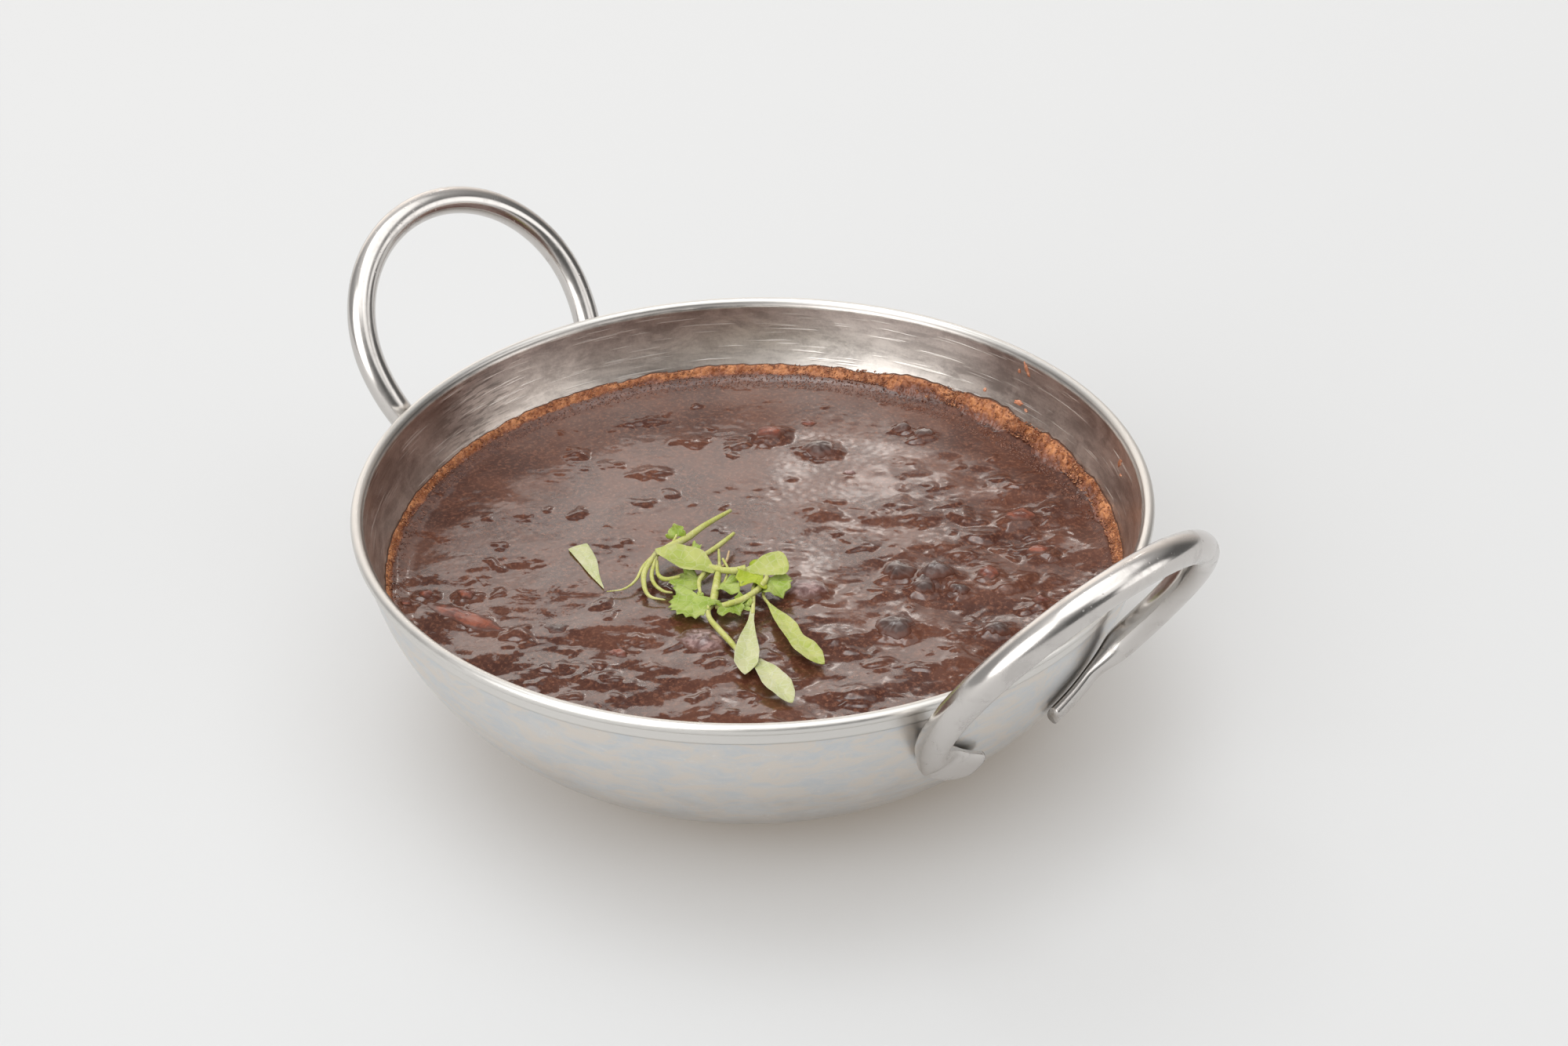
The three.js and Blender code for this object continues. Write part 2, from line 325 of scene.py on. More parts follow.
class Tree:
    """A node tree and short ways to add to it."""

    def __init__(self, node_tree):
        self.nodes = node_tree.nodes
        self.links = node_tree.links

    def node(self, kind, settings=None, inputs=(), output=0):
        """Adds a node: its settings first, then its inputs, by place or by name."""
        made = self.nodes.new(kind)
        for key, value in (settings or {}).items():
            setattr(made, key, value)
        items = inputs.items() if isinstance(inputs, dict) else enumerate(inputs)
        for key, value in items:
            self.feed(made.inputs[key], value)
        return Value(self, made.outputs[output])

    def feed(self, socket, value):
        """Links a value to a socket, or sets a number or colour on it."""
        if isinstance(value, Value):
            self.links.new(value.socket, socket)
        elif isinstance(value, tuple) and len(value) == 3 and socket.type == "RGBA":
            socket.default_value = (*value, 1.0)
        else:
            socket.default_value = value

    def coordinates(self, output="Object"):
        """Where on the piece a point is, in metres."""
        return self.node("ShaderNodeTexCoord", output=output)

    def placed(self, vector, turn=(0, 0, 0), scale=(1, 1, 1)):
        """Coordinates turned and stretched."""
        return self.node("ShaderNodeMapping", {}, {"Vector": vector, "Rotation": turn, "Scale": scale})

    def noise(self, vector, scale, detail=3.0, roughness=0.5, distortion=0.0):
        """Soft noise from 0 to 1, with a middle of about a half."""
        inputs = {
            "Vector": vector,
            "Scale": scale,
            "Detail": detail,
            "Roughness": roughness,
            "Distortion": distortion,
        }
        return self.node("ShaderNodeTexNoise", {}, inputs)

    def cells(self, vector, scale, feature="F1"):
        """Distance to the nearest of scattered points, or to the edge of its cell."""
        return self.node("ShaderNodeTexVoronoi", {"feature": feature}, {"Vector": vector, "Scale": scale})

    def step(self, value, low, high, start=0.0, end=1.0):
        """A smooth step from start to end as the value goes from low to high."""
        settings = {"interpolation_type": "SMOOTHSTEP"}
        return self.node("ShaderNodeMapRange", settings, (value, low, high, start, end))

    def blend(self, factor, first, second):
        """A colour between two."""
        inputs = {0: factor, 6: first, 7: second}
        return self.node("ShaderNodeMix", {"data_type": "RGBA"}, inputs, 2)

    def shades(self, value, low, high, first, second):
        """A colour that goes from the first to the second as the value goes from low to high."""
        return self.blend(self.step(value, low, high), first, second)

    def drawn_out(self, flat, turn, along_, across, *details):
        """Noise stretched one way: turned, with so many waves to the metre along and across it."""
        return self.noise(self.placed(flat, (0, 0, turn), (along_, across, 1)), 1.0, *details)

    def attribute(self, label):
        """A number kept on the mesh."""
        return self.node("ShaderNodeAttribute", {"attribute_name": label}, output="Fac")

    def part(self, vector, index):
        """One of the three numbers of a vector."""
        return self.node("ShaderNodeSeparateXYZ", {}, (vector,), index)

    def bump(self, height, distance, strength):
        """A normal from a height between 0 and 1."""
        return self.node("ShaderNodeBump", {}, {"Height": height, "Distance": distance, "Strength": strength})


class Finish(Tree):
    """A material with one Principled shader. What is the same all over is set on its sockets."""

    def __init__(self, name, **constants):
        self.material = bpy.data.materials.new(name)
        self.material.use_nodes = True
        super().__init__(self.material.node_tree)
        self.shader = self.nodes["Principled BSDF"]
        self.put(**constants)

    def put(self, **inputs):
        """Feeds the shader's sockets by name and gives the material back."""
        for key, value in inputs.items():
            self.feed(self.shader.inputs[key.replace("_", " ")], value)
        return self.material


# ---- The steel dish ----


def wall_point(step):
    """Radius and height on the outside of the wall, from the rim at step 0 to the foot at step 1."""
    angle = step * math.pi / 2
    radius = FOOT_RADIUS + (WALL_TOP_RADIUS - FOOT_RADIUS) * np.maximum(np.cos(angle), 0) ** ROUND_ACROSS
    return np.stack([radius, RIM_HEIGHT * (1 - np.sin(angle) ** ROUND_UP)], -1)


def wall_radius(height):
    """Outside radius of the wall at a height."""
    drop = np.clip(1 - height / RIM_HEIGHT, 0, 1)
    return wall_point(np.arcsin(drop ** (1 / ROUND_UP)) * 2 / math.pi)[..., 0]


def wall_normal(height):
    """The wall's outward direction at a height, as radius and height."""
    small = 0.01
    slope = (wall_radius(height + small) - wall_radius(height - small)) / (2 * small)
    return unit(np.stack([np.ones_like(slope), -slope], -1))


def wall_inset(step, inset, floor):
    """The wall moved inwards along its normal, and never below the floor."""
    small = 1e-4
    way = unit(wall_point(np.minimum(step + small, 1)) - wall_point(np.maximum(step - small, 0)))
    points = wall_point(step) + inset * np.stack([way[:, 1], -way[:, 0]], -1)
    points[:, 1] = np.maximum(points[:, 1], floor)
    return points


def inner_radius(height):
    """Radius of the wall's inside at a height."""
    return wall_radius(height) - WALL / wall_normal(height)[..., 0]


def dish_shape():
    """The dish's profile turned about Z: inside wall, rolled bead, folded hem, outside wall and foot.
    The wall waves by a few hundredths of a millimetre, as hand-finished sheet does."""
    steps = np.linspace(1, 0, 72)
    inside = wall_inset(steps, WALL, WALL)
    bead_middle = RIM_RADIUS - BEAD_RADIUS
    turn = np.linspace(0.95 * math.pi, -0.25 * math.pi, 18)
    bead = np.stack(
        [bead_middle + BEAD_RADIUS * np.cos(turn), RIM_HEIGHT + BEAD_RADIUS * np.sin(turn)], -1
    )
    hem_foot = RIM_HEIGHT - HEM_DEPTH
    hem_heights = np.linspace(RIM_HEIGHT - 1.2, hem_foot + 0.25, 6)
    hem = np.stack([np.full(6, WALL_TOP_RADIUS + HEM_STEP), hem_heights], -1)
    under = np.array(
        [
            [WALL_TOP_RADIUS + 0.7 * HEM_STEP, hem_foot],
            [float(wall_radius(hem_foot - 0.2)), hem_foot - 0.2],
        ]
    )
    outside = wall_point(np.linspace(0, 1, 84))
    outside = outside[outside[:, 1] < hem_foot - 0.6]
    floor_in = np.stack([np.linspace(1.0, FOOT_RADIUS - 4, 10), np.full(10, WALL)], -1)
    floor_out = np.stack([np.linspace(FOOT_RADIUS - 3, 1.0, 10), np.zeros(10)], -1)
    profile = np.vstack([floor_in, inside, bead, hem, under, outside, floor_out])
    turns = np.linspace(0, 2 * math.pi, 400, endpoint=False)
    radius = profile[:, 0, None] * np.ones_like(turns)
    height = profile[:, 1, None] * np.ones_like(turns)
    on_wall = smoothstep(3, 10, height) * smoothstep(RIM_HEIGHT - 1, RIM_HEIGHT - 8, height)
    ripple = 0.035 * waves(turns[None] * 30 + 0 * height, height, 26, 24, 5)
    ripple += 0.02 * np.sin(3 * turns + 1)[None]
    radius = radius + ripple * on_wall
    rows = round_z(radius, turns, height)
    inside_rows = len(floor_in) + len(inside)
    hem_rows = inside_rows + len(bead) + len(hem)
    row = np.arange(len(profile))[:, None] + 0 * turns
    is_inside, is_outside = (row < inside_rows).ravel(), (row >= hem_rows).ravel()
    seam = np.exp(-((row - inside_rows) ** 2) / 1.2).ravel()
    marks = {
        "inside": np.append(is_inside, [1.0, 0.0]),
        "outside": np.append(is_outside, [0.0, 1.0]),
        "seam": np.append(seam, [0.0, 0.0]),
    }
    return skin(rows), marks


# A scuffed place on the wall's inside, in metres.
SCUFF = tuple(float(v) for v in seen([-62.5, 46.0, 42.5]) * MM)


def unrolled(finish, place):
    """The dish's wall laid out flat: the way round it and the height, in metres. The cut is behind
    the near handle."""
    x, y, z = (finish.part(place, index) for index in range(3))
    round_ = finish.node("ShaderNodeMath", {"operation": "ARCTAN2"}, (0 - y, 0 - x))
    return finish.node("ShaderNodeCombineXYZ", {}, (round_ * (UNROLLED_RADIUS * MM), z, 0.0))


def steel_scratches(finish, flat):
    """Long fine lines in four directions: noise drawn out along each, kept where it peaks."""
    lines = 0.0
    for turn, along_, across in ((0.5, 60, 1500), (-0.62, 55, 1300), (1.1, 65, 1700), (0.15, 60, 1500)):
        streak = finish.drawn_out(flat, turn, along_, across, 1.0, 0.4)
        lines = lines + finish.step(streak, 0.67, 0.74)
    return lines


def dish_steel():
    """Satin stainless sheet. Inside: clouds and streaks with a fine grain, crossing scratches, one
    scuffed place on the far left and a dark seam under the bead. Outside: soft blotches a little warm
    or cool, pale rubbed scuffs, and painted shade that darkens it towards the foot. The bead is plain
    and bright."""
    finish = Finish("dish_steel", Metallic=1.0)
    place = finish.coordinates()
    inside = finish.attribute("inside")
    outside = finish.attribute("outside")
    seam = finish.attribute("seam")
    flat = unrolled(finish, place)
    brushing = finish.drawn_out(flat, 0.04, 40, 420, 4.0, 0.6, 0.3)
    clouds = finish.drawn_out(flat, 0.25, 60, 125, 7.0, 0.66, 1.2)
    streaks = finish.drawn_out(flat, -0.45, 150, 560, 5.0, 0.65, 0.6)
    grain = finish.noise(flat, 1500, 3.0, 0.7)
    blotches = finish.drawn_out(flat, -0.15, 110, 230, 6.0, 0.68, 1.0)
    mottle = finish.drawn_out(flat, 0.2, 230, 480, 5.0, 0.68, 0.8)
    scratches = steel_scratches(finish, flat)
    cool = finish.shades(mottle, 0.36, 0.66, (0.595, 0.615, 0.63), (0.665, 0.655, 0.64))
    tinted = finish.shades(blotches, 0.40, 0.62, cool, (0.70, 0.65, 0.595))
    # Painted shade: the outside is darkened towards the foot, standing in for the shadowed floor it mirrors.
    painted_darkening = finish.step(finish.part(place, 2) + (clouds - 0.5) * 0.03, 0.032, 0.006) * 0.95
    shaded_near_foot = finish.blend(painted_darkening, tinted, (0.47, 0.435, 0.40))
    rubbed = finish.step(mottle * 0.6 + grain * 0.4, 0.56, 0.68) * 0.4
    scuffy = finish.blend(rubbed, shaded_near_foot, (0.78, 0.77, 0.75))
    outer = finish.blend(outside, (0.69, 0.67, 0.64), scuffy)
    cloudy = clouds * 0.58 + streaks * 0.28 + grain * 0.14
    grey = finish.shades(cloudy, 0.38, 0.62, (0.47, 0.435, 0.41), (0.87, 0.825, 0.775))
    brushed = finish.blend(finish.step(brushing, 0.35, 0.7) * 0.3, grey, (0.72, 0.68, 0.63))
    scored = finish.blend(scratches * 0.6, brushed, (0.95, 0.92, 0.87))
    off_scuff = finish.node("ShaderNodeVectorMath", {"operation": "DISTANCE"}, (place, SCUFF), 1)
    hatch = finish.drawn_out(flat, 0.95, 190, 1500, 2.0, 0.5, 0.2)
    scuff = finish.step(off_scuff, 0.016, 0.006) * finish.step(hatch, 0.5, 0.62)
    scuffed = finish.blend(scuff * 0.6, scored, (0.22, 0.20, 0.185))
    colour = finish.blend(seam * 0.75, finish.blend(inside, outer, scuffed), (0.16, 0.14, 0.13))
    outer_gloss = 0.2 + 0.14 * blotches + 0.18 * mottle
    inner_gloss = 0.21 + 0.18 * clouds + 0.05 * brushing + 0.1 * scratches
    gloss = outer_gloss * (1 - inside) + inner_gloss * inside
    relief = brushing * 0.35 + clouds * 0.4 + grain * 0.12 + scratches * 0.3 * inside
    return finish.put(Base_Color=colour, Roughness=gloss, Normal=finish.bump(relief, 0.00008, 0.7))


# ---- Handles ----


def loop_points(angles, tilt, lift):
    """The free loop: a half circle above its widest points and a half ellipse below, in a plane
    that leans outwards by tilt and crosses the rim's height at LOOP_OFFSET."""
    stretch = np.where(np.sin(angles) > 0, LOOP_RADIUS, LOOP_FOOT_DROP)
    rise = lift + stretch * np.sin(angles)
    return np.stack(
        [
            LOOP_OFFSET + rise * math.sin(tilt),
            LOOP_RADIUS * np.cos(angles),
            RIM_HEIGHT + rise * math.cos(tilt),
        ],
        -1,
    )


def below_widest(angles):
    """How far round the loop a place is below its widest points; above them it is negative."""
    return np.abs(angles - math.pi / 2) - math.pi / 2


def flattening(angles):
    """0 on the round rod and 1 on the flattened pad."""
    return smoothstep(0.16 * math.pi, 0.27 * math.pi, below_widest(angles))


def rod_path(angles, tilt, lift):
    """The middle of the rod and its outward side: the free loop, held off the wall where it comes
    too near, so that its feet lie along it."""
    free = loop_points(angles, tilt, lift)
    plane_normal = np.array([math.cos(tilt), 0.0, -math.sin(tilt)])
    heights = np.minimum(free[:, 2], RIM_HEIGHT - 0.02)
    radius = wall_radius(heights)
    normal = wall_normal(heights)
    wall_x = np.sqrt(radius**2 - free[:, 1] ** 2)
    outward = np.stack(
        [normal[:, 0] * wall_x / radius, normal[:, 0] * free[:, 1] / radius, normal[:, 1]], -1
    )
    blend = smoothstep(0.07 * math.pi, 0.24 * math.pi, below_widest(angles))
    flat = flattening(angles)
    needed = ROD_RADIUS + (PAD_HALF_THICKNESS - ROD_RADIUS) * flat + PAD_GAP
    spare = (free[:, 0] - wall_x) * outward[:, 0] - needed
    kept = (spare + np.hypot(spare, SOFT_CONTACT)) / 2
    held = np.stack([wall_x + (needed + kept) / outward[:, 0], free[:, 1], free[:, 2]], -1)
    above = (free[:, 2] > RIM_HEIGHT)[:, None]
    facing = unit(plane_normal * (1 - blend)[:, None] + outward * blend[:, None])
    return np.where(above, free, held), np.where(above, plane_normal, facing)


def handle_shape(azimuth, tilt, lift):
    """A circle carried round the loop, pressed flat and rounded off at its feet. The azimuth and the
    tilt are in degrees."""
    tilt, azimuth = math.radians(tilt), math.radians(azimuth)
    s = np.sin(np.linspace(-math.pi / 2, math.pi / 2, 260)) * 0.35 + np.linspace(-1, 1, 260) * 0.65
    angles = math.pi / 2 + s * (LOOP_END - math.pi / 2)
    small = 0.01
    middle, outward = rod_path(angles, tilt, lift)
    ahead = unit(rod_path(angles + small, tilt, lift)[0] - rod_path(angles - small, tilt, lift)[0])
    across = unit(np.cross(ahead, outward))
    thick = np.cross(across, ahead)
    flat = flattening(angles)
    rounding = np.sqrt(1 - smoothstep(0.93, 1.12, np.abs(s)))
    half_width = (ROD_RADIUS + (PAD_HALF_WIDTH - ROD_RADIUS) * flat) * rounding
    half_thickness = ROD_RADIUS + (PAD_HALF_THICKNESS - ROD_RADIUS) * flat
    turn = np.linspace(0, 2 * math.pi, 36, endpoint=False)
    squareness = 1 - 0.3 * flat[:, None]
    side = np.sign(np.cos(turn)) * np.abs(np.cos(turn)) ** squareness
    face = np.sign(np.sin(turn)) * np.abs(np.sin(turn)) ** squareness
    rows = (
        middle[:, None]
        + across[:, None] * (side * half_width[:, None])[..., None]
        + thick[:, None] * (face * half_thickness[:, None])[..., None]
    )
    x, y = rows[..., 0].copy(), rows[..., 1].copy()
    rows[..., 0] = x * math.cos(azimuth) - y * math.sin(azimuth)
    rows[..., 1] = x * math.sin(azimuth) + y * math.cos(azimuth)
    return skin(rows)


def handle_steel():
    """Polished rod: nearly a mirror, with small pits, soft scuffs and a little unevenness."""
    finish = Finish("handle_steel", Metallic=1.0)
    place = finish.coordinates()
    scuffs = finish.noise(place, 160, 4.0, 0.65, 0.5)
    slow = finish.noise(place, 45, 2.0)
    pits = finish.step(finish.cells(place, 700), 0.16, 0.08) * finish.step(slow, 0.5, 0.6)
    colour = finish.blend(finish.step(scuffs, 0.5, 0.72) * 0.5, (0.62, 0.59, 0.565), (0.46, 0.435, 0.415))
    gloss = 0.17 + 0.16 * finish.step(scuffs, 0.42, 0.75) + 0.15 * pits
    relief = scuffs * 0.5 + slow * 0.5 - pits * 0.4
    return finish.put(Base_Color=colour, Roughness=gloss, Normal=finish.bump(relief, 0.00008, 0.35))


# ---- The stew ----

STEW_RADIUS = float(
    wall_radius(np.array(STEW_LEVEL)) - (WALL + GAP) / wall_normal(np.array([STEW_LEVEL]))[0, 0]
)

# Lumps under the surface: (right, away, half length, half width, rise, turn in degrees). They
# stand out of the sauce by LUMP_HEIGHT times their rise.
LUMP_HEIGHT = 0.85
LUMPS = (
    (14.1, 40.3, 5.4, 4.4, 1.5, -10),
    (3.4, 47.0, 5.2, 4.6, 1.5, 20),
    (33.3, 48.7, 3.2, 3.0, 1.1, 0),
    (37.5, 45.9, 3.4, 3.0, 1.1, 10),
    (33.6, 31.7, 4.0, 3.4, 0.8, -10),
    (36.7, -8.9, 4.6, 4.6, 1.9, -20),
    (29.3, -8.6, 4.2, 4.0, 1.6, 40),
    (33.6, -13.4, 3.8, 3.4, 1.1, 0),
    (40.7, -14.3, 3.0, 2.8, 1.0, 0),
    (47.3, -9.4, 3.8, 3.6, 1.4, 60),
    (50.9, -13.2, 3.0, 2.6, 1.1, 0),
    (54.1, -10.8, 2.8, 2.6, 1.0, 15),
    (55.5, 11.6, 5.0, 4.6, 1.6, 10),
    (46.7, 4.9, 3.8, 3.4, 1.0, 0),
    (44.6, 12.6, 4.6, 3.4, 1.1, -30),
    (35.0, 12.4, 3.6, 3.2, 0.7, 0),
    (58.5, -0.8, 4.2, 3.4, 1.2, 0),
    (57.0, -18.6, 3.4, 3.0, 1.2, 20),
    (10.5, -13.8, 5.6, 4.8, 1.2, -15),
    (27.6, -26.8, 5.6, 4.6, 1.4, 0),
    (47.3, -28.0, 3.8, 3.2, 1.2, 0),
    (-9.7, -30.1, 6.4, 4.8, 0.7, -20),
    (19.6, -47.5, 4.4, 3.4, 0.9, 10),
    (-65.6, -13.9, 2.8, 2.6, 1.1, 0),
    (-57.5, -14.0, 3.4, 2.8, 1.1, 0),
    (-69.0, -17.6, 2.4, 2.2, 0.9, 0),
    (-56.6, -21.8, 9.0, 3.2, 0.6, -30),
    (-46.9, -27.0, 3.4, 3.0, 0.8, 0),
    (-22.7, 32.0, 5.6, 2.8, 0.8, 5),
    (-25.4, 53.9, 6.4, 2.4, 0.7, 8),
    (-39.5, 40.7, 3.6, 2.6, 0.8, 30),
    (-13.2, 45.0, 3.2, 2.6, 0.8, 0),
    (-3.6, 43.5, 3.6, 2.4, 0.7, 20),
    (22.0, 3.0, 4.2, 3.0, 0.6, 0),
    (13.4, 15.6, 5.0, 3.2, 0.9, -20),
    (30.0, 18.0, 4.6, 3.0, 0.6, 15),
    (62.5, 15.0, 3.4, 3.0, 0.9, 40),
    (40.0, -38.0, 5.0, 3.4, 0.7, 0),
    (-30.0, -42.0, 5.2, 3.4, 0.5, 10),
)

# What shows in the sauce: (right, away, half length, half width, rise, turn, wavering outline).
BEANS = (
    (14.1, 40.5, 4.1, 3.2, 0.6, -10, 0.11),
    (36.7, -8.7, 3.7, 3.5, 0.9, -20, 0.11),
    (29.3, -8.4, 3.2, 3.1, 0.8, 40, 0.12),
    (33.2, 48.9, 2.1, 1.8, 0.5, 0, 0.11),
    (37.6, 46.1, 2.4, 1.9, 0.5, 10, 0.11),
    (27.6, -26.4, 4.4, 3.5, 0.7, 0, 0.13),
    (-38.6, -25.2, 2.6, 1.6, 0.25, 0, 0.14),
    (33.8, -13.2, 2.6, 2.4, 0.6, 0, 0.13),
    (41.0, -14.6, 2.0, 1.9, 0.5, 0, 0.14),
    (47.3, -28.2, 2.6, 2.2, 0.6, 20, 0.14),
)
RED_BITS = (
    (3.4, 47.2, 3.6, 2.9, 0.35, 20, 0.06),
    (47.3, -9.2, 2.7, 2.4, 0.4, 60, 0.06),
    (55.5, 12.0, 3.5, 3.0, 0.4, 10, 0.05),
    (58.5, -0.5, 2.6, 1.9, 0.3, 0, 0.1),
    (57.0, -18.4, 2.0, 1.8, 0.3, 20, 0.1),
    (-65.6, -13.7, 1.7, 1.5, 0.35, 0, 0.08),
    (-57.5, -13.8, 2.1, 1.6, 0.4, 0, 0.1),
    (-69.0, -17.4, 1.2, 1.1, 0.3, 0, 0.1),
    (-56.9, -21.4, 9.0, 2.5, 0.18, -30, 0.09),
    (-26.0, -33.5, 2.0, 1.3, 0.2, 0, 0.15),
    (12.0, 52.0, 1.6, 1.2, 0.25, 0, 0.15),
)
PALE_SKINS = (
    (-9.7, -29.8, 5.9, 4.0, 0.2, -14, 0.1),
    (10.5, -13.6, 4.4, 3.9, 0.3, -15, 0.08),
    (20.5, 31.0, 1.5, 1.0, 0.2, 0, 0.1),
)


def stew_base(x, y):
    """The level of the stew with its slow swells and its climb at the wall, as in the solid."""
    swell = 0.3 * np.sin(x / 7.5 + 1.3 * np.sin(y / 17)) * np.cos(y / 9 + 0.8)
    swell = swell + 0.22 * np.sin((x + y) / 5.2 + 0.5) * np.sin((x - y) / 11)
    edge = smoothstep(STEW_RADIUS - EDGE_CLIMB_WIDTH, STEW_RADIUS, np.hypot(x, y))
    return STEW_LEVEL + 0.35 * swell * (1 - edge) + EDGE_CLIMB * edge**2


def liveliness(u, v):
    """How lumpy the stew is at a place, from 0 in the calm middle to 1 at the front and the right."""
    front = smoothstep(-2, -34, v - 0.12 * u)
    right = smoothstep(12, 46, u) * smoothstep(50, 20, v)
    left = smoothstep(-30, -52, u) * smoothstep(40, 10, v)
    return np.maximum(np.maximum(front, right), 0.35 * left)


def unsettled(u, v):
    """1 all over, but nearly 0 on the one smooth place where the stew shows its glare."""
    return 1 - 0.9 * np.exp(-(((u - 28) / 12) ** 2) - ((v - 28) / 9) ** 2)


def small_lumps(count, seed):
    """Bits of bean just under the surface, most of them where the stew is lively."""
    draw = np.random.default_rng(seed)
    u, v = draw.uniform(-70, 70, (2, 8 * count))
    chance = 0.12 + 0.88 * liveliness(u, v)
    kept = np.flatnonzero((np.hypot(u, v) < 68) & (draw.uniform(0, 1, 8 * count) < chance))[:count]
    length = draw.uniform(1.0, 2.6, len(kept))
    width = length * draw.uniform(0.55, 0.9, len(kept))
    rise = length * draw.uniform(0.08, 0.27, len(kept))
    return np.stack([u[kept], v[kept], length, width, rise, draw.uniform(-40, 40, len(kept))], -1)


def stew_form(u, v):
    """The stew's form without its grain, over (right, away): long ripples, stronger at the front and
    the right; patches of short wrinkles; and a rounded cap over each lump, whose outline wanders."""
    lively = liveliness(u, v)
    height = (0.04 + 0.2 * lively) * waves(u, v, 15, 26, 11, 1.7)
    height = height + (0.018 + 0.06 * lively) * waves(u, v, 7.5, 40, 12, 1.6)
    patchy = smoothstep(0.1, 1.2, waves(u, v, 17, 16, 15, 1.5)) * (1 - 0.4 * lively) + 0.4 * lively
    height = height + 0.028 * patchy * waves(u, v, 2.9, 50, 13, 1.4)
    unrest = unsettled(u, v)
    u = u + 0.45 * waves(u, v, 5.5, 20, 16) + 0.2 * waves(u, v, 2.2, 20, 17)
    v = v + 0.45 * waves(u, v, 5.5, 20, 18) + 0.2 * waves(u, v, 2.2, 20, 19)
    for right_, away, length, width, rise, turn in LUMPS + tuple(small_lumps(230, 20)):
        turn = math.radians(turn)
        du, dv = u - right_, v - away
        a = (du * math.cos(turn) + dv * math.sin(turn)) / (1.15 * length)
        b = (-du * math.sin(turn) + dv * math.cos(turn)) / (1.15 * width)
        height = height + LUMP_HEIGHT * rise * np.maximum(1 - a**2 - b**2, 0) ** 1.6
    return height * unrest


def stew_top(x, y):
    """The stew's surface: its slow base, its form and a fine grain."""
    u, v = as_seen(x, y)
    grain = 0.010 * waves(u, v, 1.7, 50, 14, 1.3)
    near_wall = smoothstep(STEW_RADIUS, STEW_RADIUS - 1.5, np.hypot(x, y))
    swell = (stew_base(x, y) - STEW_LEVEL) * unsettled(u, v)
    return STEW_LEVEL + swell + (stew_form(u, v) + grain * unsettled(u, v)) * near_wall


def stew_leans(x, y):
    """Three numbers for each place: how much more the surface leans towards the onlooker than where
    its sheen ends; how far to the right it mirrors the room; and how far over the rim of the dish,
    in millimetres, the mirrored line of sight passes."""
    u, v = as_seen(x, y)
    small = 0.3
    # The smallest factors are per millimetre: how the line of sight turns across the dish.
    to_front = (stew_form(u, v + small) - stew_form(u, v - small)) / (2 * small)
    to_left = (stew_form(u + small, v) - stew_form(u - small, v)) / (2 * small)
    far_left = smoothstep(-22, -42, u) * smoothstep(-10, 5, v)
    limit = 0.078 - 0.0011 * np.maximum(20 - v, -8) + 0.02 * far_left
    aside = u * 0.00262 - 1.1 * to_left
    across = u * 0.0031 - 1.1 * to_left
    ahead = np.sqrt(1 - across**2)
    middle = u * across + v * ahead
    way = -middle + np.sqrt(np.maximum(middle**2 - (u**2 + v**2 - WALL_TOP_RADIUS**2), 0))
    rise = 0.655 - 0.0011 * v + 2.6 * to_front
    return {"lean": to_front - limit, "aside": aside, "over": way * rise - (RIM_HEIGHT - STEW_LEVEL)}


def stew_shape():
    """A square grid drawn out to a disc, raised to the stew's surface, with sides that follow the
    wall down to a flat bottom."""
    size = 300
    side = np.linspace(-1, 1, size)
    a, b = np.meshgrid(side, side, indexing="ij")
    x = a * np.sqrt(1 - b**2 / 2) * STEW_RADIUS
    y = b * np.sqrt(1 - a**2 / 2) * STEW_RADIUS
    top = np.stack([x, y, stew_top(x, y)], -1)
    index = np.arange(size * size).reshape(size, size)
    rim = np.concatenate([index[0, :-1], index[:-1, -1], index[-1, :0:-1], index[:0:-1, 0]])
    rim_points = top.reshape(-1, 3)[rim]
    azimuth = np.arctan2(rim_points[:, 1], rim_points[:, 0])
    top_step = float(np.arcsin((1 - STEW_LEVEL / RIM_HEIGHT) ** (1 / ROUND_UP)) * 2 / math.pi)
    steps = np.linspace(top_step, 1, 8)[1:]
    sides = wall_inset(steps, WALL + GAP, WALL + GAP)
    rows = round_z(sides[:, :1], azimuth, sides[:, 1:])
    around = len(rim)
    start = size * size
    corners = np.vstack([top.reshape(-1, 3), rows.reshape(-1, 3), [[0, 0, WALL + GAP]]])
    j = np.arange(around)
    beside = (j + 1) % around
    joins = np.stack([rim[j], rim[beside], start + beside, start + j], -1)
    skirt = grid_quads(len(rows), around) + start
    last = start + (len(rows) - 1) * around
    bottom = np.stack([last + j, last + beside, np.full(around, len(corners) - 1)], -1)
    quads = np.vstack([grid_quads(size, size, False, False)[:, ::-1], joins[:, ::-1], skirt[:, ::-1]])
    shape = Shape(corners, quads, bottom[:, ::-1]).facing_out()
    return shape, stew_leans(corners[:, 0], corners[:, 1])


